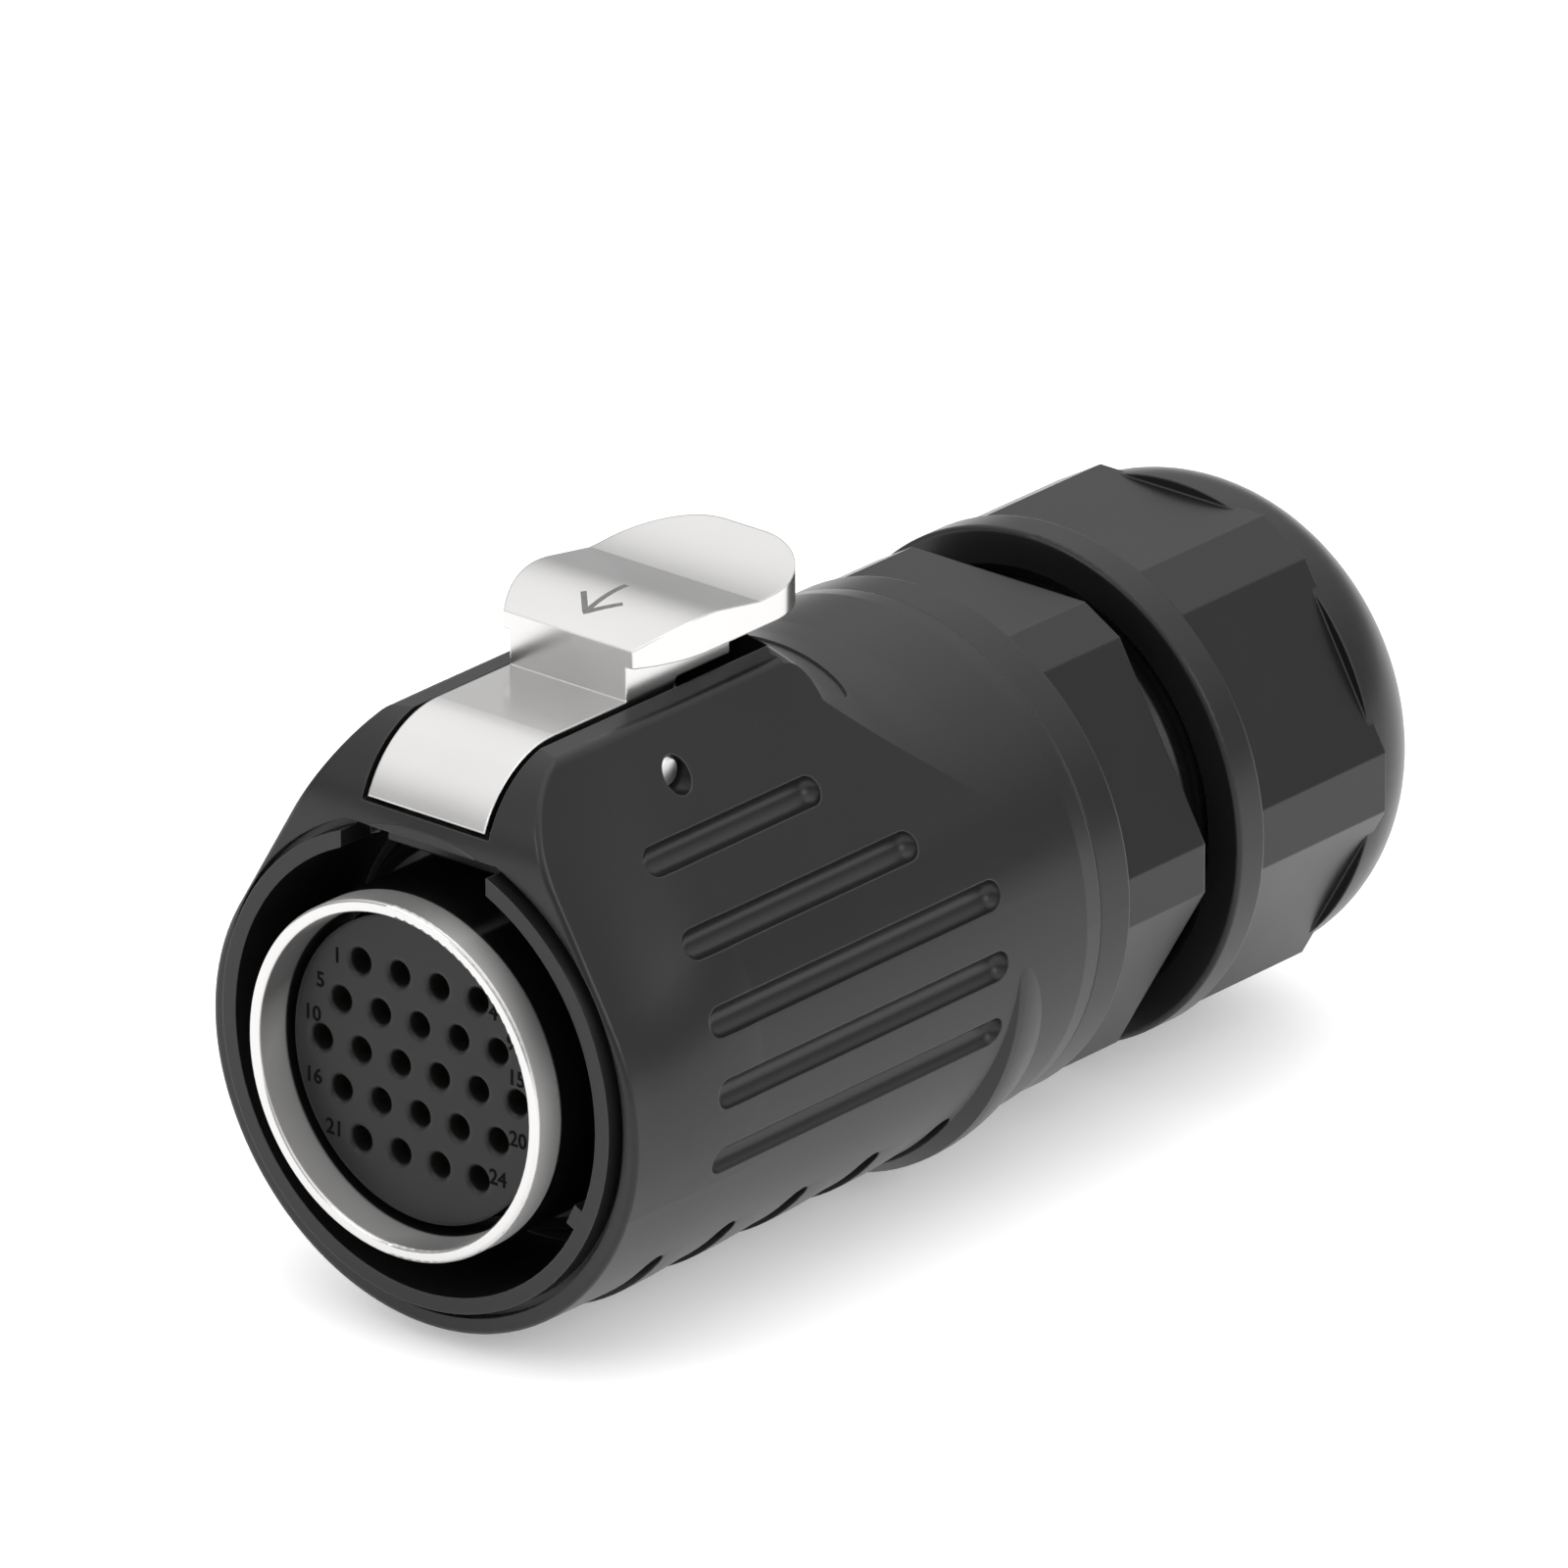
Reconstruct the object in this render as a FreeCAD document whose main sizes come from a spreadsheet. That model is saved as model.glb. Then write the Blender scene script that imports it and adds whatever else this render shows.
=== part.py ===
"""Cable plug with a push latch and 24 socket contacts, as a parametric FreeCAD document.

The connector's axis is Y and the mating front looks to -Y. The latch is on top, at +Z.
The origin is the centre of the metal ring's front rim. All sizes are millimetres.
"""
import FreeCAD, Part
import math
import os
import re

import Sketcher
from FreeCAD import Placement, Rotation, Vector

# Driving dimensions: name, value and what it is on the plug
DIMENSIONS = [
    ("body_radius", 16.4, "shell, round part of the grip"),
    ("rim_step", 0.05, "shell, the front rim's radius is smaller than the grip's by this"),
    ("rim_turn", 2.2, "shell, the rim curves more tightly than the grip by this towards a flank"),
    ("turn_angle", 20.0, "shell, where that tighter curve starts below the horizontal, degrees"),
    ("rim_lean", 30.5, "shell, lean of the flanks at the rim, degrees"),
    ("rim_face", 2.66, "shell, plane of the front rim"),
    ("rim_round", 0.35, "shell, rounding of the rim and of the nose's edge"),
    ("rim_end", 4.2, "shell, where the rim starts to change into the grip"),
    ("grip_start", 11.0, "shell, where the grip has its full outline"),
    ("grip_front", 14.0, "shell, front of the turned grip"),
    ("shell_rear", 44.8, "shell, rear face"),
    ("tail_length", 1.4, "shell, tapered tail"),
    ("tail_taper", 0.15, "shell, taper of the tail"),
    ("lip_face", 1.92, "shell, plane of the lip ring"),
    ("lip_radius", 14.8, "shell, outside of the lip ring"),
    ("lip_groove_width", 0.5, "shell, groove outside the lip ring"),
    ("lip_groove_depth", 0.75, "shell, depth of that groove below the rim"),
    ("cavity_radius", 13.8, "shell, space that takes the mating ring"),
    ("web_front", 12.5, "shell, floor of that space"),
    ("web_thickness", 1.7, "shell, web that the sleeve passes"),
    ("web_play", 0.05, "shell, clearance of the sleeve in the web"),
    ("rear_bore_radius", 13.6, "shell, bore behind the web"),
    ("key_width", 1.4, "shell, polarising rib in the cavity"),
    ("key_height", 0.75, "shell, height of that rib"),
    ("key_angle", 26.0, "shell, rib below the horizontal, degrees"),
    ("flank_angle", 34.0, "hump, lean of the flat flanks, degrees"),
    ("hump_shoulder", 19.75, "hump, height of the edge of its top"),
    ("shoulder_setback", 0.45, "hump, rounding of that edge"),
    ("hump_top", 20.05, "hump, height of its top"),
    ("crown_radius", 70.0, "hump, slight crown of its top"),
    ("nose_radius", 6.65, "hump, curve of the nose"),
    ("hump_rear", 28.9, "hump, rear end"),
    ("hump_rear_round", 1.6, "hump, rounding of the rear end"),
    ("saddle_radius", 18.0, "hump, hollow curve behind it"),
    ("saddle_end", 38.1, "hump, where the hollow meets the grip"),
    ("mark_half_width", 7.2, "hump, half length of the oval mark behind it"),
    ("mark_half_length", 2.0, "hump, half width of the oval mark"),
    ("mark_place", 32.2, "hump, middle of the oval mark"),
    ("mark_depth", 0.12, "hump, depth of the oval mark"),
    ("belly_drop", 1.2, "belly, its axis lies this far below the plug's"),
    ("belly_step", 1.0, "belly, from the grip's radius down to the front edge of a finger slot"),
    ("bump_fall", 0.26, "belly, fall of each bump from one slot to the next"),
    ("bump_curve", 45.0, "belly, curve of each bump between the slots"),
    ("bulge_front", 37.3, "belly, where the bulge's front slope ends"),
    ("bulge_peak", 37.9, "belly, place of the rear bulge, which has the grip's radius"),
    ("bulge_end", 43.8, "belly, end of the rear bulge"),
    ("bulge_fall", 1.11, "belly, fall of the bulge to its end"),
    ("bulge_curve", 9.9, "belly, curve of the bulge"),
    ("slot_start", 8.3, "belly, front edge of the first finger slot"),
    ("slot_pitch", 6.52, "belly, pitch of the finger slots"),
    ("slot_breadth", 1.5, "belly, width of a finger slot"),
    ("slot_depth", 0.85, "belly, from the grip's radius down to the slots' floor"),
    ("slot_reach", 11.85, "belly, half length of a finger slot"),
    ("groove_round", 1.0, "flank grooves, radius of their section"),
    ("groove_depth", 0.75, "flank grooves, depth"),
    ("groove_pitch", 4.4, "flank grooves, step in height"),
    ("groove_middle", 0.25, "flank grooves, height of the second from below"),
    ("groove_front", 9.9, "flank grooves, front ends"),
    ("groove_rear", 36.2, "flank grooves, rear ends of the long ones"),
    ("groove_step", 5.3, "flank grooves, each upper one is shorter by this"),
    ("opening_width", 9.7, "latch opening in the hump, width"),
    ("opening_rear", 28.3, "latch opening, rear end"),
    ("boss_space", 0.35, "latch opening, from the boss down to its floor"),
    ("bar_top", 15.5, "bar below the latch, upper edge"),
    ("bar_bottom", 14.2, "bar below the latch, lower edge"),
    ("bar_rear", 4.1, "bar below the latch, rear face"),
    ("notch_width", 11.1, "notch in the lip ring below the bar"),
    ("latch_width", 8.9, "latch, width of the lever"),
    ("latch_wall", 1.3, "latch, thickness of apron and top plate"),
    ("apron_foot", 15.8, "latch, lower edge of the apron"),
    ("riser_front", 15.75, "latch, front face of the riser"),
    ("riser_rear", 25.0, "latch, rear of the rib below the thumb pad"),
    ("pad_underside", 22.2, "latch, underside of the thumb pad"),
    ("pad_lip", 1.1, "latch, thickness of the pad's front edge"),
    ("pad_front_half", 4.93, "latch, half width of the pad's front edge"),
    ("pad_half", 6.5, "latch, half width of the thumb pad"),
    ("pad_widen_end", 20.5, "latch, where the pad reaches its full width"),
    ("pad_flare", 9.0, "latch, curve of the pad's widening sides"),
    ("pad_rear", 31.7, "latch, rear edge of the thumb pad"),
    ("pad_corner", 5.0, "latch, corner radius of the thumb pad"),
    ("pad_crest", 24.55, "latch, height of the pad's crest"),
    ("crest_place", 20.5, "latch, place of the crest"),
    ("crest_end", 21.6, "latch, where the crest turns into a slope"),
    ("valley_place", 25.3, "latch, place of the pad's valley"),
    ("pad_valley", 23.88, "latch, height of the valley"),
    ("pad_tail", 25.0, "latch, height of the pad's rear edge"),
    ("seat_height", 20.2, "latch, spring seat below the pad"),
    ("boss_radius", 1.6, "latch, boss round the pin"),
    ("hook_front", 4.85, "latch, front face of the hook"),
    ("hook_rear", 6.3, "latch, rear face of the hook"),
    ("hook_foot", 12.5, "latch, lower end of the hook"),
    ("pivot_place", 15.45, "latch pin, distance from the front"),
    ("pivot_height", 16.65, "latch pin, height"),
    ("pin_radius", 1.0, "latch pin"),
    ("pin_length", 15.8, "latch pin"),
    ("pin_edge", 0.2, "latch pin, chamfer"),
    ("pin_play", 0.05, "latch pin, radial clearance"),
    ("spring_place", 22.6, "latch spring, distance from the front"),
    ("spring_radius", 1.6, "latch spring, radius of the coil"),
    ("wire_radius", 0.25, "latch spring, wire"),
    ("spring_turns", 4.0, "latch spring, turns"),
    ("spring_gap", 0.05, "latch spring, clearance at each end"),
    ("sleeve_radius", 11.1, "metal ring and contact sleeve, outside"),
    ("sleeve_mouth", 10.3, "metal ring, radius of the mouth"),
    ("sleeve_edge", 0.22, "metal ring, rounding of the rim"),
    ("sleeve_inner", 10.1, "metal ring, radius round the insert's face"),
    ("ring_rear", 2.0, "metal ring, rear of the visible part"),
    ("skirt_radius", 10.5, "metal ring, outside of the hidden skirt"),
    ("ring_joint", 0.08, "contact sleeve, bevel at the metal ring"),
    ("sleeve_step", 5.0, "contact sleeve, where it closes on the insert"),
    ("sleeve_seat", 11.6, "contact sleeve, seat of the seal and the web"),
    ("seat_front", 10.2, "contact sleeve, front of that seat"),
    ("sleeve_bore", 9.85, "contact sleeve, bore for the insert"),
    ("sleeve_shoulder", 16.0, "contact sleeve, shoulder for the insert"),
    ("sleeve_counterbore", 11.75, "contact sleeve, rear counterbore"),
    ("sleeve_rear", 21.0, "contact sleeve, rear face"),
    ("flange_radius", 13.4, "contact sleeve, flange behind the web"),
    ("insert_face", 2.3, "contact insert, front face"),
    ("insert_boss", 9.5, "contact insert, radius of the front boss"),
    ("insert_boss_end", 5.3, "contact insert, rear of the front boss"),
    ("insert_play", 0.1, "contact insert, clearance in the sleeve"),
    ("insert_shoulder", 11.6, "contact insert, radius of the shoulder"),
    ("insert_shoulder_width", 2.0, "contact insert, width of the shoulder"),
    ("insert_tail", 10.4, "contact insert, radius of the rear part"),
    ("insert_rear", 22.0, "contact insert, rear face"),
    ("contact_pitch", 3.0, "contacts, pitch in a row"),
    ("row_pitch", 2.816, "contacts, pitch of the rows"),
    ("entry_radius", 0.75, "contacts, entry hole"),
    ("entry_round", 0.3, "contacts, rounding of the entry"),
    ("entry_depth", 1.8, "contacts, thickness of the entry wall"),
    ("barrel_radius", 0.95, "contacts, socket barrel"),
    ("barrel_bore", 0.5, "contacts, bore of the socket"),
    ("socket_depth", 7.2, "contacts, depth of the socket"),
    ("collar_radius", 1.12, "contacts, collar"),
    ("collar_front", 12.2, "contacts, front of the collar"),
    ("contact_play", 0.08, "contacts, clearance in the insert"),
    ("cup_radius", 0.85, "contacts, solder cup"),
    ("cup_bore", 0.55, "contacts, bore of the cup"),
    ("cup_depth", 3.5, "contacts, depth of the cup"),
    ("cup_rear", 27.0, "contacts, rear end"),
    ("cup_open", 2.0, "contacts, length of the cup's open side"),
    ("plate_thickness", 1.8, "back plate behind the insert"),
    ("ring_width", 2.0, "insert ring"),
    ("ring_bore", 10.55, "insert ring, bore"),
    ("ring_slot", 1.6, "insert ring, spanner slots"),
    ("seal_thickness", 1.2, "mating seal, thickness of its base"),
    ("seal_lip", 0.9, "mating seal, height of its lip"),
    ("seal_play", 0.12, "mating seal, clearance to sleeve and shell"),
    ("spigot_radius", 13.5, "rear body, spigot inside the shell"),
    ("spigot_bore", 11.0, "rear body, space for the wires"),
    ("ring_groove_place", 40.8, "rear body, middle of the O-ring groove"),
    ("ring_groove_width", 1.7, "rear body, width of that groove"),
    ("ring_groove_floor", 12.2, "rear body, radius of its floor"),
    ("ring_section", 0.6, "body seal, radius of its section"),
    ("collar_step", 0.2, "rear body and nut, their collars are smaller than the grip by this"),
    ("collar_bevel", 0.15, "rear body, bevel at the seam"),
    ("collar_rear", 47.6, "rear body, where the flats start"),
    ("flats_rear", 54.9, "rear body, rear face of the flats"),
    ("body_across", 29.15, "rear body, across flats"),
    ("body_wide", 13.25, "rear body, width of a flat"),
    ("neck_radius", 12.6, "rear body, threaded neck"),
    ("neck_end", 67.0, "rear body, end of the neck"),
    ("neck_bore", 9.0, "rear body, bore below the claws"),
    ("claw_seat", 55.6, "rear body, seat of the claws"),
    ("claw_bore", 9.6, "rear body, bore round the claws"),
    ("claw_play", 0.2, "clamp claws, clearance in the neck"),
    ("claw_wall", 1.8, "clamp claws, thickness of the fingers"),
    ("claw_ring", 3.0, "clamp claws, length of the closed ring"),
    ("claw_floor", 1.4, "clamp claws, inner lip"),
    ("claw_slit", 1.0, "clamp claws, slit between the fingers"),
    ("claw_end", 68.2, "clamp claws, end of the fingers"),
    ("grommet_bore", 5.0, "cable seal, bore for the cable"),
    ("grommet_play", 0.2, "cable seal, clearance in the claws"),
    ("grommet_rib", 0.5, "cable seal, depth of its grooves"),
    ("nut_front", 57.8, "gland nut, front face"),
    ("nut_flange_end", 60.3, "gland nut, rear of the flange ring"),
    ("nut_across", 29.3, "gland nut, across flats"),
    ("nut_wide", 12.57, "gland nut, width of a flat"),
    ("nut_hex_end", 72.05, "gland nut, rear of the flats"),
    ("dome_radius", 15.3, "gland nut, radius at the root of the dome"),
    ("dome_round", 7.07, "gland nut, curve of the dome"),
    ("thread_play", 0.3, "gland nut, clearance on the neck"),
    ("washer_thickness", 1.3, "thrust washer"),
    ("washer_bore", 8.0, "thrust washer, bore"),
    ("nut_shoulder", 72.2, "gland nut, shoulder behind the washer"),
    ("cable_entry", 7.5, "gland nut, radius of the cable entry"),
    ("exit_round", 0.8, "gland nut, rounding of the cable entry"),
]
OPENING_FLOOR = "(pivot_height - boss_radius - boss_space)"
NAMES = {name for name, size, note in DIMENSIONS}
WORD = re.compile(r"[a-z][a-z0-9_]*")

# Contact rows from top to bottom in row pitches; each row has one contact fewer than the next
# one towards the middle
ROW_STEPS = [2, 1, 0, -1, -2]
MIDDLE_ROW_COUNT = 6
FINGER_SLOTS = 5
FLANK_GROOVES = 5
CLAWS = 8
# Height steps of the flank grooves from the lowest, and how many steps shorter each is
GROOVE_STEPS = [(-1, 0), (0, 0), (1, 0), (2, 1), (3, 2)]

doc = FreeCAD.newDocument("circular_cable_plug")
sheet = doc.addObject("Spreadsheet::Sheet", "dims")
for row, (name, size, note) in enumerate(DIMENSIONS, 1):
    sheet.set("A%d" % row, name)
    sheet.set("B%d" % row, str(size))
    sheet.setAlias("B%d" % row, name)
    sheet.set("C%d" % row, note)
doc.recompute()


def bound(text):
    """The formula with every dimension's name written as a cell of the sheet"""
    return WORD.sub(lambda word: "dims." + word[0] if word[0] in NAMES else word[0], str(text))


def value(text):
    """The present value of a formula"""
    return float(sheet.evalExpression(bound(text)))


def bind(thing, prop, text):
    """Drive one property of an object by a formula"""
    thing.setExpression(prop, bound(text))


def new_body(name):
    return doc.addObject("PartDesign::Body", name)


def new_sketch(body, name, role, lift=None):
    """A sketch on one of the body's origin planes, lifted along the plane's normal"""
    sketch = body.newObject("Sketcher::SketchObject", name)
    plane = next(item for item in body.Origin.OriginFeatures if item.Role == role)
    sketch.AttachmentSupport = [(plane, "")]
    sketch.MapMode = "FlatFace"
    if lift is not None:
        bind(sketch, "AttachmentOffset.Base.z", lift)
    return sketch


def pin_point(sketch, geometry, position, across, along):
    """Fix a point of the sketch by two formulas measured from the origin"""
    for kind, text in (("DistanceX", across), ("DistanceY", along)):
        rule = Sketcher.Constraint(kind, -1, 1, geometry, position, value(text))
        index = sketch.addConstraint(rule)
        bind(sketch, "Constraints[%d]" % index, text)


def outline(body, name, role, corners, lift=None):
    """A closed outline. A corner's third entry is the radius of the arc to the next corner,
    positive where the arc's centre lies on the left of the way there"""
    sketch = new_sketch(body, name, role, lift)
    points = [Vector(value(corner[0]), value(corner[1]), 0) for corner in corners]
    ends = []
    for index, corner in enumerate(corners):
        start = points[index]
        stop = points[(index + 1) % len(points)]
        if len(corner) < 3:
            geometry = sketch.addGeometry(Part.LineSegment(start, stop))
            ends.append((geometry, 1, 2))
            continue
        radius = value(corner[2])
        chord = stop - start
        normal = Vector(-chord.y, chord.x, 0).normalize()
        rise = math.sqrt(max(radius * radius - chord.Length ** 2 / 4, 0))
        side = 1 if radius > 0 else -1
        centre = (start + stop) / 2 + normal * rise * side
        first = math.atan2(start.y - centre.y, start.x - centre.x)
        last = math.atan2(stop.y - centre.y, stop.x - centre.x)
        circle = Part.Circle(centre, Vector(0, 0, 1), abs(radius))
        if side > 0:
            geometry = sketch.addGeometry(Part.ArcOfCircle(circle, first, last))
            ends.append((geometry, 1, 2))
        else:
            geometry = sketch.addGeometry(Part.ArcOfCircle(circle, last, first))
            ends.append((geometry, 2, 1))
        index = sketch.addConstraint(Sketcher.Constraint("Radius", geometry, abs(radius)))
        bind(sketch, "Constraints[%d]" % index, "abs(%s)" % corner[2])
    for index, (geometry, begin, end) in enumerate(ends):
        after = ends[(index + 1) % len(ends)]
        sketch.addConstraint(Sketcher.Constraint("Coincident", geometry, end, after[0], after[1]))
        pin_point(sketch, geometry, begin, corners[index][0], corners[index][1])
    return sketch


def circles(body, name, role, rounds, lift=None):
    """A sketch of full circles, each given by centre and radius"""
    sketch = new_sketch(body, name, role, lift)
    for across, along, radius in rounds:
        centre = Vector(value(across), value(along), 0)
        circle = Part.Circle(centre, Vector(0, 0, 1), value(radius))
        geometry = sketch.addGeometry(circle)
        pin_point(sketch, geometry, 3, across, along)
        index = sketch.addConstraint(Sketcher.Constraint("Radius", geometry, value(radius)))
        bind(sketch, "Constraints[%d]" % index, radius)
    return sketch


def turned(name, profile, lift=None):
    """A body turned about the plug's axis; the profile is (radius, distance from the front)"""
    body = new_body(name)
    sketch = outline(body, name + "_profile", "XY_Plane", profile, lift)
    turn = body.newObject("PartDesign::Revolution", name + "_turn")
    turn.Profile = sketch
    turn.ReferenceAxis = (sketch, ["V_Axis"])
    turn.Angle = 360
    sketch.Visibility = False
    return body


def pad(body, sketch, length, both_sides=False, backwards=False):
    """Extrude a sketch of the body"""
    feature = body.newObject("PartDesign::Pad", sketch.Name + "_pad")
    feature.Profile = sketch
    bind(feature, "Length", length)
    feature.Midplane = both_sides
    feature.Reversed = backwards
    return feature


def pocket(body, sketch, both_sides=False, backwards=False):
    """Cut a sketch right through the body"""
    feature = body.newObject("PartDesign::Pocket", sketch.Name + "_pocket")
    feature.Profile = sketch
    feature.Type = 1
    feature.Midplane = both_sides
    feature.Reversed = backwards
    return feature


def bar_along(name, profile, front, length):
    """A bar along the plug's axis; the profile is (X, Z)"""
    body = new_body(name)
    sketch = outline(body, name + "_profile", "XZ_Plane", profile, "-(%s)" % front)
    pad(body, sketch, length, backwards=True)
    return body


def bar_across(name, profile, width):
    """A bar across the plug, even about its middle; the profile is (Y, Z)"""
    body = new_body(name)
    sketch = outline(body, name + "_profile", "YZ_Plane", profile)
    pad(body, sketch, width, both_sides=True)
    return body


def boolean(kind, name, base, tool):
    """Cut or Common of two objects"""
    result = doc.addObject("Part::" + kind, name)
    result.Base = base
    result.Tool = tool
    return result


def fused(name, pieces):
    result = doc.addObject("Part::MultiFuse", name)
    result.Shapes = pieces
    return result


def grouped(name, pieces):
    """Several tools that don't touch, as one"""
    result = doc.addObject("Part::Compound", name)
    result.Links = pieces
    return result


def mirrored(name, piece):
    """The same piece on the plug's other side"""
    result = doc.addObject("Part::Mirroring", name)
    result.Source = piece
    result.Normal = Vector(1, 0, 0)
    return result


def nut_corners(across, wide):
    """The twelve corners of a hexagon with bevelled corners and flats above and below"""
    corners = []
    for step in range(6):
        angle = 90 - 60 * step
        for side in (-1, 1):
            x = "%s / 2 * cos(%ddeg) + %d * %s / 2 * sin(%ddeg)" % (across, angle, side, wide, angle)
            z = "%s / 2 * sin(%ddeg) - %d * %s / 2 * cos(%ddeg)" % (across, angle, side, wide, angle)
            corners.append((x, z))
    return corners


def contact_places():
    """Number, X and Z of each contact, row by row from the top left as seen from the front"""
    number = 0
    for height in ROW_STEPS:
        count = MIDDLE_ROW_COUNT - abs(height)
        for index in range(count):
            number += 1
            x = "contact_pitch * (%g)" % (index - (count - 1) / 2)
            z = "row_pitch * (%g)" % height
            yield number, x, z


def shell_form():
    """The shell's outside: a nose that widens to a turned grip, the hump and the bumpy belly"""
    grip = turned("grip", [
        (0, "lip_face"),
        ("lip_radius", "lip_face"),
        ("lip_radius", "grip_front"),
        ("body_radius", "grip_front"),
        ("body_radius", "shell_rear - tail_length"),
        ("body_radius - tail_taper", "shell_rear"),
        (0, "shell_rear"),
    ])
    return fused("shell_outside", [nose(), grip, hump(), belly()])


def shell_section(radius, tighter, lean):
    """Round below, turning by a tighter curve to flat flanks, a rounded shoulder and a crowned top"""
    lean = "%s * 1deg" % lean
    curve = "(%s - %s)" % (radius, tighter)
    turn_x = "%s * cos(turn_angle * 1deg)" % radius
    turn_z = "-%s * sin(turn_angle * 1deg)" % radius
    centre_x = "%s * cos(turn_angle * 1deg)" % tighter
    centre_z = "-%s * sin(turn_angle * 1deg)" % tighter
    foot_x = "%s + %s * cos(%s)" % (centre_x, curve, lean)
    foot_z = "%s + %s * sin(%s)" % (centre_z, curve, lean)
    reach = "(%s + %s * cos(%s + turn_angle * 1deg))" % (curve, tighter, lean)
    edge_x = "(%s - hump_shoulder * sin(%s)) / cos(%s)" % (reach, lean, lean)
    low_x = "%s + shoulder_setback * sin(%s)" % (edge_x, lean)
    low_z = "hump_shoulder - shoulder_setback * cos(%s)" % lean
    high_x = "%s - shoulder_setback" % edge_x
    shoulder = "shoulder_setback * tan(45deg + %s * 0.5)" % lean
    right = [
        (turn_x, turn_z, curve),
        (foot_x, foot_z),
        (low_x, low_z, shoulder),
        (high_x, "hump_shoulder", "crown_radius"),
    ]
    left = [
        ("-(%s)" % high_x, "hump_shoulder", shoulder),
        ("-(%s)" % low_x, low_z),
        ("-(%s)" % foot_x, foot_z, curve),
        ("-%s" % turn_x, turn_z, radius),
        (0, "-%s" % radius, radius),
    ]
    return right + left


def nose():
    """The front of the shell: a rim with steeper flanks that grows into the grip"""
    rim = "(body_radius - rim_step)"
    sections = [
        ("rim_face", rim, "rim_turn", "rim_lean"),
        ("rim_end", rim, "rim_turn", "rim_lean"),
        ("grip_start", "body_radius", "0", "flank_angle"),
        ("grip_front", "body_radius", "0", "flank_angle"),
    ]
    body = new_body("nose")
    sketches = []
    for index, (place, radius, tighter, lean) in enumerate(sections, 1):
        corners = shell_section(radius, tighter, lean)
        sketches.append(outline(body, "nose_section_%d" % index, "XZ_Plane", corners, "-%s" % place))
    loft = body.newObject("PartDesign::AdditiveLoft", "nose_loft")
    loft.Profile = sketches[0]
    loft.Sections = sketches[1:]
    loft.Ruled = False
    front = outline(body, "nose_profile", "YZ_Plane", [
        ("rim_face", "hump_top - nose_radius", "-nose_radius"),
        ("rim_face + nose_radius", "hump_top"),
        ("rim_face + nose_radius", "hump_top + nose_radius"),
        ("rim_face - nose_radius", "hump_top + nose_radius"),
        ("rim_face - nose_radius", "hump_top - nose_radius"),
    ])
    cut = pocket(body, front, both_sides=True)
    doc.recompute()
    rims = []
    for index, edge in enumerate(cut.Shape.Edges, 1):
        box = edge.BoundBox
        at_front = box.YMax - value("rim_face") < 1e-3
        from_front = abs(box.YMin - value("rim_face")) < 1e-3 and not at_front
        on_nose = from_front and box.ZMin > value("hump_top - nose_radius") - 1e-3
        is_level = box.ZMax - box.ZMin < 1e-6
        if (at_front and not is_level) or on_nose:
            rims.append("Edge%d" % index)
    rounding = body.newObject("PartDesign::Fillet", "nose_rims")
    rounding.Base = (cut, rims)
    bind(rounding, "Radius", "rim_round")
    return body


def hump():
    """The raised housing of the latch, with a hollow saddle behind it"""
    section = shell_section("body_radius", "0", "flank_angle")
    upper = section[1:6] + [section[6][:2]]
    body = bar_along("hump", upper, "grip_front", "saddle_end - grip_front")
    drop = "(saddle_end - hump_rear)"
    hollow_top = "body_radius + saddle_radius - sqrt(saddle_radius * saddle_radius - %s * %s)" % (drop, drop)
    round_top = "%s + hump_rear_round" % hollow_top
    saddle = outline(body, "saddle_profile", "XY_Plane", [
        ("body_radius", "saddle_end", "saddle_radius"),
        (hollow_top, "hump_rear", "-hump_rear_round"),
        (round_top, "hump_rear - hump_rear_round"),
        ("2 * body_radius", "hump_rear - hump_rear_round"),
        ("2 * body_radius", "saddle_end"),
    ])
    groove = body.newObject("PartDesign::Groove", "saddle_groove")
    groove.Profile = saddle
    groove.ReferenceAxis = (saddle, ["V_Axis"])
    groove.Angle = 360
    return body


def belly():
    """Bumps that fall from each finger slot to the next, then a bulge, on a lowered axis"""
    front_edge = "body_radius - belly_step"
    rear_edge = "%s + bump_fall" % front_edge
    middle = "(bulge_peak + bulge_end) / 2"
    foot = "body_radius - bulge_fall"
    profile = [(0, "slot_start")]
    for index in range(FINGER_SLOTS):
        front = "slot_start + slot_pitch * %d" % index
        profile.append((front_edge, front))
        profile.append((rear_edge, "%s + slot_breadth" % front, "bump_curve"))
    profile[-1] = (rear_edge, "%s + slot_breadth" % front)
    front_drop = "(bulge_peak - bulge_front)"
    profile += [
        ("body_radius - bulge_curve + sqrt(bulge_curve * bulge_curve - %s * %s)" % (front_drop, front_drop),
         "bulge_front", "bulge_curve"),
        ("body_radius", "bulge_peak", "bulge_curve"),
        ("(body_radius + %s) / 2" % foot, middle, "-bulge_curve"),
        (foot, "bulge_end"),
        (0, "bulge_end"),
    ]
    return turned("belly", profile, "-belly_drop")


def finger_slots():
    """Round-ended slots across the belly, with a floor at one radius"""
    body = new_body("finger_slots")
    for index in range(FINGER_SLOTS):
        front = "slot_start + slot_pitch * %d" % index
        rear = "%s + slot_breadth" % front
        middle = "%s + slot_breadth / 2" % front
        tip = "slot_reach + slot_breadth / 2"
        slot = outline(body, "finger_slot_%d" % (index + 1), "XY_Plane", [
            ("-slot_reach", front),
            ("slot_reach", front, "slot_breadth / 2"),
            (tip, middle, "slot_breadth / 2"),
            ("slot_reach", rear),
            ("-slot_reach", rear, "slot_breadth / 2"),
            ("-(%s)" % tip, middle, "slot_breadth / 2"),
        ], "-2 * body_radius")
        pad(body, slot, "1.9 * body_radius")
    return body


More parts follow.
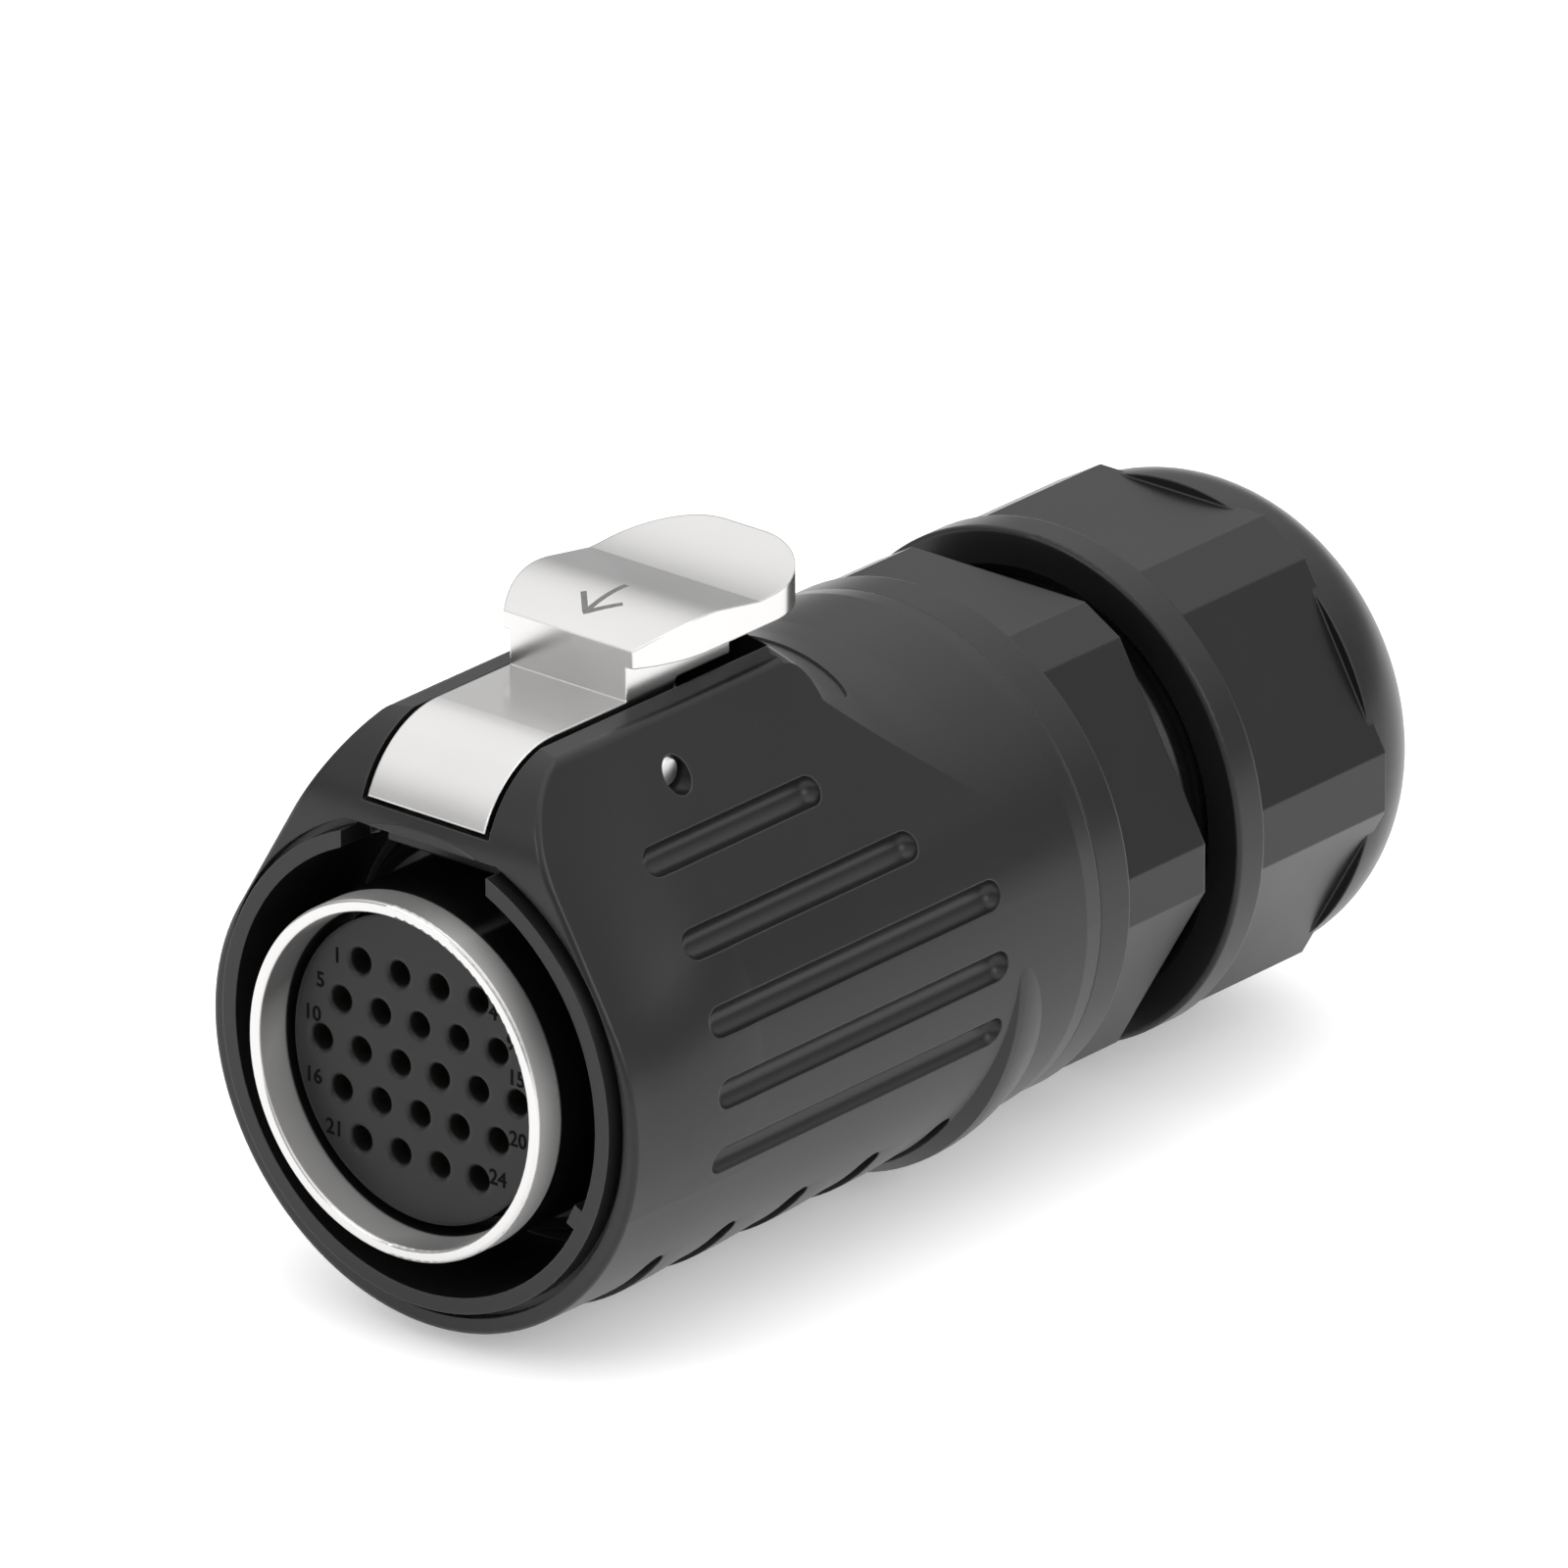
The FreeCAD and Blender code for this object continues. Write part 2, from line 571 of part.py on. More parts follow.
def flank_groove(index, height_step, short_step):
    """A round-ended cutter that lies along one flank"""
    rear = "groove_rear - groove_step * %d" % short_step
    body = turned("flank_groove_%d" % index, [
        (0, "groove_front", "groove_round"),
        ("groove_round", "groove_front + groove_round"),
        ("groove_round", "%s - groove_round" % rear, "groove_round"),
        (0, rear),
    ])
    height = "groove_middle + groove_pitch * (%d)" % height_step
    reach = "(body_radius + groove_round - groove_depth)"
    lean = "flank_angle * 1deg"
    on_flat = "(%s - (%s) * sin(%s)) / cos(%s)" % (reach, height, lean, lean)
    on_round = "sqrt(%s * %s - (%s) * (%s))" % (reach, reach, height, height)
    bind(body, "Placement.Base.x", on_flat if height_step > 2 else on_round)
    bind(body, "Placement.Base.z", height)
    return body


def latch_opening():
    """The opening in the hump for the latch, and the notch through which its hook shows"""
    well = bar_across("latch_well", [
        ("rim_face - 2", "bar_top"),
        ("bar_rear", "bar_top"),
        ("bar_rear", "hook_foot - 2"),
        ("web_front", "hook_foot - 2"),
        ("web_front", OPENING_FLOOR),
        ("opening_rear", OPENING_FLOOR),
        ("opening_rear", "hump_top + 2"),
        ("rim_face - 2", "hump_top + 2"),
    ], "opening_width")
    notch = bar_across("hook_notch", [
        ("lip_face - 1", "hook_foot - 1"),
        ("bar_rear + 0.5", "hook_foot - 1"),
        ("bar_rear + 0.5", "bar_bottom"),
        ("rim_face", "bar_bottom"),
        ("rim_face", "bar_top"),
        ("lip_face - 1", "bar_top"),
    ], "notch_width")
    return [well, notch]


def lip_groove():
    """The groove outside the lip ring, which stops at both sides of the notch"""
    groove_end = "lip_radius + lip_groove_width"
    ring = turned("lip_groove_ring", [
        ("lip_radius", "rim_face - 1"),
        (groove_end, "rim_face - 1"),
        (groove_end, "rim_face + lip_groove_depth"),
        ("lip_radius", "rim_face + lip_groove_depth"),
    ])
    keep = bar_across("lip_groove_stop", [
        ("rim_face - 2", 0),
        ("rim_face + lip_groove_depth + 1", 0),
        ("rim_face + lip_groove_depth + 1", "2 * body_radius"),
        ("rim_face - 2", "2 * body_radius"),
    ], "notch_width")
    return boolean("Cut", "lip_groove", ring, keep)


def outer_shell():
    """The moulded shell with its grip, belly slots, flank grooves and latch housing"""
    inside = turned("shell_inside", [
        (0, "lip_face - 1"),
        ("cavity_radius", "lip_face - 1"),
        ("cavity_radius", "web_front"),
        ("sleeve_seat + web_play", "web_front"),
        ("sleeve_seat + web_play", "web_front + web_thickness"),
        ("rear_bore_radius", "web_front + web_thickness"),
        ("rear_bore_radius", "shell_rear + 1"),
        (0, "shell_rear + 1"),
    ])
    skin = turned("belly_skin", [
        ("body_radius - slot_depth", "slot_start - 2"),
        ("2 * body_radius", "slot_start - 2"),
        ("2 * body_radius", "bulge_end"),
        ("body_radius - slot_depth", "bulge_end"),
    ])
    fingers = boolean("Common", "finger_cut", finger_slots(), skin)
    right = [flank_groove(index + 1, *steps) for index, steps in enumerate(GROOVE_STEPS)]
    right_set = grouped("flank_grooves", right)
    left_set = mirrored("flank_grooves_left", right_set)
    hole = doc.addObject("Part::Cylinder", "pin_hole")
    bind(hole, "Radius", "pin_radius + pin_play")
    bind(hole, "Height", "2 * body_radius")
    hole.Placement = Placement(Vector(), Rotation(Vector(0, 1, 0), 90))
    bind(hole, "Placement.Base.x", "-body_radius")
    bind(hole, "Placement.Base.y", "pivot_place")
    bind(hole, "Placement.Base.z", "pivot_height")
    hollow = boolean("Cut", "shell_hollow", shell_form(), fused("shell_space", [inside, *latch_opening()]))
    cutters = grouped("shell_cutters", [fingers, right_set, left_set, lip_groove()])
    slotted = boolean("Cut", "shell_slotted", hollow, cutters)
    drilled = boolean("Cut", "shell_drilled", slotted, hole)
    marked = boolean("Cut", "shell_marked", drilled, oval_mark())
    shell = fused("outer_shell", [marked, polarising_key()])
    shell.Label = "outer_shell"
    return shell


def oval_mark():
    """A shallow oval in the saddle behind the hump"""
    drop = "(saddle_end - hump_rear)"
    hollow_top = "body_radius + saddle_radius - sqrt(saddle_radius * saddle_radius - %s * %s)" % (drop, drop)
    skin = turned("mark_skin", [
        ("body_radius - mark_depth", "saddle_end", "saddle_radius"),
        ("%s - mark_depth" % hollow_top, "hump_rear"),
        ("2 * body_radius", "hump_rear"),
        ("2 * body_radius", "saddle_end"),
    ])
    oval = doc.addObject("Part::Ellipse", "mark_oval")
    bind(oval, "MajorRadius", "mark_half_width")
    bind(oval, "MinorRadius", "mark_half_length")
    bind(oval, "Placement.Base.y", "mark_place")
    prism = doc.addObject("Part::Extrusion", "mark_prism")
    prism.Base = oval
    prism.Dir = Vector(0, 0, 1)
    bind(prism, "LengthFwd", "2 * body_radius")
    prism.Solid = True
    return boolean("Common", "oval_mark", prism, skin)


def polarising_key():
    """The rib in the mating cavity that keeps the plug from turning"""
    rib = bar_along("key_rib", [
        ("cavity_radius - key_height", "-key_width / 2"),
        ("cavity_radius + 0.3", "-key_width / 2"),
        ("cavity_radius + 0.3", "key_width / 2"),
        ("cavity_radius - key_height", "key_width / 2"),
    ], "lip_face + 0.2", "web_front - lip_face - 0.2")
    rib.Placement = Placement(Vector(), Rotation(Vector(0, 1, 0), value("key_angle")))
    bind(rib, "Placement.Rotation.Angle", "key_angle * 1deg")
    return rib


def latch_lever():
    """The metal latch: apron, top plate, riser, thumb pad, boss and hook in one casting"""
    centre_y = "(rim_face + nose_radius)"
    centre_z = "(hump_top - nose_radius)"
    inner = "(nose_radius - latch_wall)"
    foot = "(apron_foot - %s)" % centre_z
    outer_foot = "%s - sqrt(nose_radius * nose_radius - %s * %s)" % (centre_y, foot, foot)

    def inner_arc(place):
        run = "(%s - %s)" % (centre_y, place)
        return "%s + sqrt(%s * %s - %s * %s)" % (centre_z, inner, inner, run, run)

    lever = bar_across("latch_blade", [
        (outer_foot, "apron_foot", "-nose_radius"),
        (centre_y, "hump_top"),
        ("riser_front", "hump_top"),
        ("riser_front", "pad_underside + pad_lip / 2"),
        ("riser_rear", "pad_underside + pad_lip / 2"),
        ("riser_rear", "seat_height"),
        ("pivot_place + 3 * boss_radius", "seat_height"),
        ("pivot_place + 2 * boss_radius", "pivot_height"),
        ("pivot_place - 1.7 * boss_radius", "pivot_height"),
        ("pivot_place - 2.4 * boss_radius", "hump_top - latch_wall"),
        (centre_y, "hump_top - latch_wall", inner),
        ("hook_rear", inner_arc("hook_rear")),
        ("hook_rear", "hook_foot + 0.8"),
        ("hook_rear - 0.4", "hook_foot"),
        ("hook_front", "hook_foot"),
        ("hook_front", "apron_foot"),
    ], "latch_width")
    boss = doc.addObject("Part::Cylinder", "latch_boss")
    bind(boss, "Radius", "boss_radius")
    bind(boss, "Height", "latch_width")
    bore = doc.addObject("Part::Cylinder", "latch_bore")
    bind(bore, "Radius", "pin_radius + pin_play")
    bind(bore, "Height", "latch_width + 2")
    for round_bar, half in ((boss, "latch_width / 2"), (bore, "latch_width / 2 + 1")):
        round_bar.Placement = Placement(Vector(), Rotation(Vector(0, 1, 0), 90))
        bind(round_bar, "Placement.Base.x", "-(%s)" % half)
        bind(round_bar, "Placement.Base.y", "pivot_place")
        bind(round_bar, "Placement.Base.z", "pivot_height")
    whole = fused("latch_whole", [lever, boss, thumb_pad()])
    latch = boolean("Cut", "latch_lever", whole, bore)
    latch.Label = "latch_lever"
    return latch


def thumb_pad():
    """The thumb pad: a plan outline cut off by a wavy top"""
    body = new_body("thumb_pad")
    right = [
        ("pad_front_half", "riser_front", "pad_flare"),
        ("pad_half", "pad_widen_end"),
        ("pad_half", "pad_rear - pad_corner", "pad_corner"),
        ("pad_half - pad_corner", "pad_rear"),
    ]
    left = [
        ("-(pad_half - pad_corner)", "pad_rear", "pad_corner"),
        ("-pad_half", "pad_rear - pad_corner"),
        ("-pad_half", "pad_widen_end", "pad_flare"),
        ("-pad_front_half", "riser_front"),
    ]
    plan = outline(body, "pad_plan", "XY_Plane", right + left, "pad_underside")
    pad(body, plan, "pad_tail - pad_underside + 1")
    crest_rise = "(pad_crest - pad_underside - pad_lip)"
    crest_run = "(crest_place - riser_front)"
    crest_arc = "(%s * %s + %s * %s) / (2 * %s)" % (crest_run, crest_run, crest_rise, crest_rise, crest_rise)
    crest_end_run = "(crest_end - crest_place)"
    crest_end_z = "pad_crest - %s + sqrt(%s * %s - %s * %s)" % (
        crest_arc, crest_arc, crest_arc, crest_end_run, crest_end_run)
    tail_rise = "(pad_tail - pad_valley)"
    tail_run = "(pad_rear - valley_place)"
    tail_arc = "(%s * %s + %s * %s) / (2 * %s)" % (tail_run, tail_run, tail_rise, tail_rise, tail_rise)
    wave = outline(body, "pad_wave", "YZ_Plane", [
        ("riser_front", "pad_underside + pad_lip", "-(%s)" % crest_arc),
        ("crest_end", crest_end_z),
        ("valley_place", "pad_valley", tail_arc),
        ("pad_rear", "pad_tail"),
        ("pad_rear + 1", "pad_tail"),
        ("pad_rear + 1", "pad_tail + 3"),
        ("riser_front - 1", "pad_tail + 3"),
        ("riser_front - 1", "pad_underside + pad_lip"),
    ])
    pocket(body, wave, both_sides=True)
    return body


def latch_pivot_pin():
    """The pin that carries the latch, pressed into both flanks of the hump"""
    body = turned("latch_pivot_pin", [
        (0, "-pin_length / 2"),
        ("pin_radius - pin_edge", "-pin_length / 2"),
        ("pin_radius", "-pin_length / 2 + pin_edge"),
        ("pin_radius", "pin_length / 2 - pin_edge"),
        ("pin_radius - pin_edge", "pin_length / 2"),
        (0, "pin_length / 2"),
    ])
    body.Placement = Placement(Vector(), Rotation(Vector(0, 0, 1), 90))
    bind(body, "Placement.Base.y", "pivot_place")
    bind(body, "Placement.Base.z", "pivot_height")


def latch_spring():
    """The small compression spring below the thumb pad"""
    low = value(OPENING_FLOOR + " + spring_gap + wire_radius")
    high = value("seat_height - spring_gap - wire_radius")
    turns = value("spring_turns")
    helix = Part.makeHelix((high - low) / turns, high - low, value("spring_radius"))
    start = Vector(value("spring_radius"), 0, 0)
    section = Part.Wire(Part.makeCircle(value("wire_radius"), start, Vector(0, 1, 0)))
    coil = Part.Wire(helix).makePipeShell([section], True, True)
    spring = doc.addObject("Part::Feature", "latch_spring")
    spring.Shape = coil
    spring.Placement = Placement(Vector(0, value("spring_place"), low), Rotation())


def metal_ring():
    """The plated ring at the mouth, with a thin skirt inside the black sleeve"""
    turned("metal_ring", [
        ("sleeve_mouth + sleeve_edge", 0),
        ("sleeve_radius - sleeve_edge", 0, "sleeve_edge"),
        ("sleeve_radius", "sleeve_edge"),
        ("sleeve_radius", "ring_rear"),
        ("skirt_radius", "ring_rear"),
        ("skirt_radius", "sleeve_step"),
        ("sleeve_inner", "sleeve_step"),
        ("sleeve_inner", "insert_face"),
        ("sleeve_mouth", "sleeve_edge", "sleeve_edge"),
    ])


def contact_sleeve():
    """The black sleeve round the contact insert, with its flange behind the shell's web"""
    flange_front = "web_front + web_thickness"
    turned("contact_sleeve", [
        ("skirt_radius", "ring_rear"),
        ("sleeve_radius - ring_joint", "ring_rear"),
        ("sleeve_radius", "ring_rear + ring_joint"),
        ("sleeve_radius", "seat_front"),
        ("sleeve_seat", "seat_front"),
        ("sleeve_seat", flange_front),
        ("flange_radius", flange_front),
        ("flange_radius", "sleeve_rear"),
        ("sleeve_counterbore", "sleeve_rear"),
        ("sleeve_counterbore", "sleeve_shoulder"),
        ("sleeve_bore", "sleeve_shoulder"),
        ("sleeve_bore", "sleeve_step"),
        ("skirt_radius", "sleeve_step"),
    ])


def contact_insert():
    """The insulating insert with a stepped hole for each contact"""
    body = turned("contact_insert", [
        (0, "insert_face"),
        ("insert_boss", "insert_face"),
        ("insert_boss", "insert_boss_end"),
        ("sleeve_bore - insert_play", "insert_boss_end"),
        ("sleeve_bore - insert_play", "sleeve_shoulder"),
        ("insert_shoulder", "sleeve_shoulder"),
        ("insert_shoulder", "sleeve_shoulder + insert_shoulder_width"),
        ("insert_tail", "sleeve_shoulder + insert_shoulder_width"),
        ("insert_tail", "insert_rear"),
        (0, "insert_rear"),
    ])
    bores = [
        ("entries", "insert_face", "entry_radius"),
        ("barrels", "insert_face + entry_depth", "barrel_radius + contact_play"),
        ("collars", "collar_front", "collar_radius + contact_play"),
    ]
    for name, front, radius in bores:
        rounds = [(x, z, radius) for number, x, z in contact_places()]
        sketch = circles(body, name, "XZ_Plane", rounds, "-(%s)" % front)
        cut = pocket(body, sketch)
    doc.recompute()
    rims = []
    for index, edge in enumerate(cut.Shape.Edges, 1):
        is_round = isinstance(edge.Curve, Part.Circle)
        if is_round and abs(edge.Curve.Radius - value("entry_radius")) < 1e-6:
            if abs(edge.Curve.Center.y - value("insert_face")) < 1e-6:
                rims.append("Edge%d" % index)
    rounding = body.newObject("PartDesign::Fillet", "entry_rims")
    rounding.Base = (cut, rims)
    bind(rounding, "Radius", "entry_round")


def contact(number, x, z):
    """One socket contact with its collar and solder cup"""
    name = "contact_%02d" % number
    body = turned(name, [
        ("barrel_bore", "insert_face + entry_depth + contact_play"),
        ("barrel_radius", "insert_face + entry_depth + contact_play"),
        ("barrel_radius", "collar_front"),
        ("collar_radius", "collar_front"),
        ("collar_radius", "insert_rear"),
        ("cup_radius", "insert_rear"),
        ("cup_radius", "cup_rear"),
        ("cup_bore", "cup_rear"),
        ("cup_bore", "cup_rear - cup_depth"),
        (0, "cup_rear - cup_depth"),
        (0, "insert_face + entry_depth + socket_depth"),
        ("barrel_bore", "insert_face + entry_depth + socket_depth"),
    ])
    side = outline(body, name + "_open_side", "YZ_Plane", [
        ("cup_rear - cup_open", 0),
        ("cup_rear + 1", 0),
        ("cup_rear + 1", "2 * cup_radius"),
        ("cup_rear - cup_open", "2 * cup_radius"),
    ])
    pocket(body, side, both_sides=True)
    bind(body, "Placement.Base.x", x)
    bind(body, "Placement.Base.z", z)


def insert_back_plate():
    """The plate that holds the contacts in the insert from behind"""
    body = turned("insert_back_plate", [
        (0, "insert_rear"),
        ("insert_tail", "insert_rear"),
        ("insert_tail", "insert_rear + plate_thickness"),
        (0, "insert_rear + plate_thickness"),
    ])
    rounds = [(x, z, "cup_radius + contact_play") for number, x, z in contact_places()]
    pocket(body, circles(body, "plate_holes", "XZ_Plane", rounds, "-insert_rear"))


def insert_ring():
    """The slotted ring that holds the insert in the sleeve"""
    front = "sleeve_shoulder + insert_shoulder_width"
    body = turned("insert_ring", [
        ("ring_bore", front),
        ("insert_shoulder", front),
        ("insert_shoulder", "%s + ring_width" % front),
        ("ring_bore", "%s + ring_width" % front),
    ])
    slot = outline(body, "ring_slots", "XZ_Plane", [
        ("-flange_radius", "-ring_slot / 2"),
        ("flange_radius", "-ring_slot / 2"),
        ("flange_radius", "ring_slot / 2"),
        ("-flange_radius", "ring_slot / 2"),
    ], "-(%s + ring_width / 2)" % front)
    pocket(body, slot)


def mating_seal():
    """The rubber ring on the floor of the mating cavity"""
    inner = "sleeve_seat + seal_play"
    outer = "cavity_radius - key_height - seal_play"
    turned("mating_seal", [
        (inner, "web_front"),
        (inner, "web_front - seal_thickness"),
        ("%s + 0.6" % inner, "web_front - seal_thickness - seal_lip"),
        ("%s - 0.3" % outer, "web_front - seal_thickness"),
        (outer, "web_front - seal_thickness + 0.3"),
        (outer, "web_front"),
    ])


def rear_body():
    """The rear body: spigot in the shell, round collar, flats for a spanner and the neck"""
    core = turned("rear_core", [
        ("spigot_bore", "sleeve_rear"),
        ("spigot_radius", "sleeve_rear"),
        ("spigot_radius", "ring_groove_place - ring_groove_width / 2"),
        ("ring_groove_floor", "ring_groove_place - ring_groove_width / 2"),
        ("ring_groove_floor", "ring_groove_place + ring_groove_width / 2"),
        ("spigot_radius", "ring_groove_place + ring_groove_width / 2"),
        ("spigot_radius", "shell_rear"),
        ("body_radius - collar_step - collar_bevel", "shell_rear"),
        ("body_radius - collar_step", "shell_rear + collar_bevel"),
        ("body_radius - collar_step", "collar_rear"),
        ("neck_radius", "collar_rear"),
        ("neck_radius", "neck_end"),
        ("claw_bore", "neck_end"),
        ("claw_bore", "claw_seat"),
        ("neck_bore", "claw_seat"),
        ("neck_bore", "claw_seat - 3"),
        ("spigot_bore", "claw_seat - 6"),
    ])
    flats = bar_along("rear_flats", nut_corners("body_across", "body_wide"),
                      "collar_rear - 0.5", "flats_rear - collar_rear + 0.5")
    bore = turned("rear_bore", [
        (0, "collar_rear - 1"),
        ("spigot_bore", "collar_rear - 1"),
        ("spigot_bore", "claw_seat - 6"),
        ("neck_bore", "claw_seat - 3"),
        ("neck_bore", "flats_rear + 1"),
        (0, "flats_rear + 1"),
    ])
    ring = boolean("Cut", "rear_flats_ring", flats, bore)
    body = fused("rear_body", [core, ring])
    body.Label = "rear_body"
    return body


def body_seal():
    """The O-ring in the spigot's groove"""
    ring = doc.addObject("Part::Torus", "body_seal")
    bind(ring, "Radius1", "(ring_groove_floor + rear_bore_radius) / 2")
    bind(ring, "Radius2", "ring_section")
    ring.Placement = Placement(Vector(), Rotation(Vector(1, 0, 0), 90))
    bind(ring, "Placement.Base.y", "ring_groove_place")


def clamp_claws():
    """The slit collet whose fingers close on the cable seal"""
    outer = "claw_bore - claw_play"
    inner = "%s - claw_wall" % outer
    body = turned("clamp_claws", [
        ("%s - 1.2" % inner, "claw_seat"),
        (outer, "claw_seat"),
        (outer, "claw_end - 1.2"),
        ("%s - 0.8" % outer, "claw_end"),
        (inner, "claw_end"),
        (inner, "claw_seat + claw_floor"),
        ("%s - 1.2" % inner, "claw_seat + claw_floor"),
    ])
    slit = outline(body, "claw_slit_profile", "XZ_Plane", [
        ("neck_bore / 2", "-claw_slit / 2"),
        ("neck_radius", "-claw_slit / 2"),
        ("neck_radius", "claw_slit / 2"),
        ("neck_bore / 2", "claw_slit / 2"),
    ], "-(claw_seat + claw_ring)")
    cut = pocket(body, slit)
    doc.recompute()
    slits = body.newObject("PartDesign::PolarPattern", "claw_slits")
    slits.Originals = [cut]
    axis = next(item for item in body.Origin.OriginFeatures if item.Role == "Y_Axis")
    slits.Axis = (axis, [""])
    slits.Angle = 360
    slits.Occurrences = CLAWS
    body.Tip = slits


def cable_seal():
    """The rubber sleeve that is squeezed onto the cable"""
    outer = "claw_bore - claw_play - claw_wall - grommet_play"
    front = "claw_seat + claw_floor"
    step = "(claw_end - claw_seat - claw_floor) / 5"
    profile = [("grommet_bore", front)]
    for index in range(5):
        near = "%s + %s * %d" % (front, step, index)
        profile.append((outer, near))
        profile.append((outer, "%s + %s * 0.7" % (near, step)))
        if index < 4:
            profile.append(("%s - grommet_rib" % outer, "%s + %s * 0.85" % (near, step)))
    profile.append((outer, "claw_end"))
    profile.append(("grommet_bore", "claw_end"))
    turned("cable_seal", profile)


def thrust_washer():
    """The washer that lets the nut turn without twisting the claws"""
    turned("thrust_washer", [
        ("washer_bore", "nut_shoulder - washer_thickness"),
        ("neck_radius", "nut_shoulder - washer_thickness"),
        ("neck_radius", "nut_shoulder"),
        ("washer_bore", "nut_shoulder"),
    ])


def gland_nut():
    """The gland nut: flange ring, spanner flats and domed end"""
    edge = "body_radius - collar_step"
    flange = turned("nut_flange_ring", [
        (0, "nut_front"),
        ("%s - 0.3" % edge, "nut_front", "0.3"),
        (edge, "nut_front + 0.3"),
        (edge, "nut_flange_end - 0.3", "0.3"),
        ("%s - 0.3" % edge, "nut_flange_end"),
        (0, "nut_flange_end"),
    ])
    flats = bar_along("nut_flats", nut_corners("nut_across", "nut_wide"),
                      "nut_flange_end - 0.5", "nut_hex_end - nut_flange_end + 0.5")
    dome = turned("nut_dome", [
        (0, "nut_hex_end - 0.5"),
        ("dome_radius", "nut_hex_end - 0.5"),
        ("dome_radius", "nut_hex_end", "dome_round"),
        ("dome_radius - dome_round", "nut_hex_end + dome_round"),
        (0, "nut_hex_end + dome_round"),
    ])
    thread = "neck_radius + thread_play"
    bore = turned("nut_bore", [
        (0, "nut_front - 1"),
        ("%s + 1" % thread, "nut_front - 1"),
        ("%s + 1" % thread, "nut_front"),
        (thread, "nut_front + 1"),
        (thread, "nut_shoulder"),
        ("cable_entry", "nut_shoulder"),
        ("cable_entry", "nut_hex_end + dome_round - exit_round", "-exit_round"),
        ("cable_entry + exit_round", "nut_hex_end + dome_round"),
        ("cable_entry + exit_round", "nut_hex_end + dome_round + 1"),
        (0, "nut_hex_end + dome_round + 1"),
    ])
    nut = boolean("Cut", "gland_nut", fused("nut_solid", [flange, flats, dome]), bore)
    nut.Label = "gland_nut"
    return nut


NODES = [
    "outer_shell", "latch_lever", "latch_pivot_pin", "latch_spring", "metal_ring",
    "contact_sleeve", "contact_insert", "insert_back_plate", "insert_ring", "mating_seal", "rear_body",
    "body_seal", "clamp_claws", "cable_seal", "thrust_washer", "gland_nut",
]

outer_shell()
latch_lever()
latch_pivot_pin()
latch_spring()
metal_ring()
contact_sleeve()
contact_insert()
insert_back_plate()
insert_ring()
mating_seal()
rear_body()
body_seal()
clamp_claws()
cable_seal()
thrust_washer()
gland_nut()
for number, x, z in contact_places():
    contact(number, x, z)
    NODES.append("contact_%02d" % number)
doc.recompute()

failed = [thing.Name for thing in doc.Objects if "Invalid" in thing.State or "Error" in thing.State]
if failed:
    raise RuntimeError("These objects failed: %s" % ", ".join(failed))

os.makedirs("parts", exist_ok=True)
for node in NODES:
    thing = doc.getObjectsByLabel(node)[0]
    shape = thing.Shape
    if shape.isNull() or not shape.isValid() or len(shape.Solids) != 1:
        raise RuntimeError("%s has no single valid solid" % node)
    shape.exportStep("parts/%s.step" % node)
    box = shape.BoundBox
    print("%-18s volume %9.2f mm3, Y %6.2f to %6.2f, Z %6.2f to %6.2f" % (
        node, shape.Volume, box.YMin, box.YMax, box.ZMin, box.ZMax))
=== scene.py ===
# %% [markdown]
# # A round cable plug with a push latch
#
# The CAD model gives the plug its solids at real size: a black moulded shell, a plated ring round
# the contacts, a metal latch and a hexagonal cable gland. This script gives those solids their
# finish, adds the small things that are only looks, and sets up light and camera.
# All lengths are in metres, in the same frame as the CAD: the plug's axis is Y, the mating front
# looks to -Y, and the latch is on top.

import bpy
import numpy as np
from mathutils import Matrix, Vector


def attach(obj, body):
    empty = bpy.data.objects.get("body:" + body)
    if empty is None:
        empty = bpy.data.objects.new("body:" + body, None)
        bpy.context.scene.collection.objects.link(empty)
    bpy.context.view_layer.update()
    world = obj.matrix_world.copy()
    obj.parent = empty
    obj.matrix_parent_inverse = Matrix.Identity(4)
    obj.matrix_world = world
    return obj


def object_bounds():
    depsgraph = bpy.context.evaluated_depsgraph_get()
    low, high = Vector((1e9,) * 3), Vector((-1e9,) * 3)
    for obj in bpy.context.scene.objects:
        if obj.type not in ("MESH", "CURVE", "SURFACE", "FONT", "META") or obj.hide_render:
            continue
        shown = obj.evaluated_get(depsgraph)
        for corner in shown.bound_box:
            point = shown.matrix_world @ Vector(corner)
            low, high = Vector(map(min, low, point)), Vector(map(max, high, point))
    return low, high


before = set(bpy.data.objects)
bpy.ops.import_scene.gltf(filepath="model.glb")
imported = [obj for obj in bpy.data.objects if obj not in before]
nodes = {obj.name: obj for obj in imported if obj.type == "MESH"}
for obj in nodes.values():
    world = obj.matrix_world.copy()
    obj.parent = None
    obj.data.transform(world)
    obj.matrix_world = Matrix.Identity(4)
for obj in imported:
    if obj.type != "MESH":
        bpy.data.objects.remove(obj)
cad_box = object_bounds()
print("CAD nodes:", len(nodes), "box:", [[round(float(x), 4) for x in corner] for corner in cad_box])

# %% [markdown]
# ## Helpers for materials
#
# A material is a small network. Writing one node per line keeps the network readable, so small
# helpers do the repeated work: they add a node and fill its sockets, with a number, a colour or
# the output of another node, mix two colours, start a material with its Principled shader, and
# start or place a group, which is a part of a network that several materials share.

# %% Nodes and materials
MM = 0.001


def add(tree, kind, sockets=None, **settings):
    """Adds a shader node, sets its settings, then fills each named socket with a value or a link."""
    made = tree.nodes.new("ShaderNode" + kind)
    for key, value in settings.items():
        setattr(made, key, value)
    for name, value in (sockets or {}).items():
        if isinstance(value, bpy.types.NodeSocket):
            tree.links.new(value, made.inputs[name])
        else:
            made.inputs[name].default_value = value
    return made


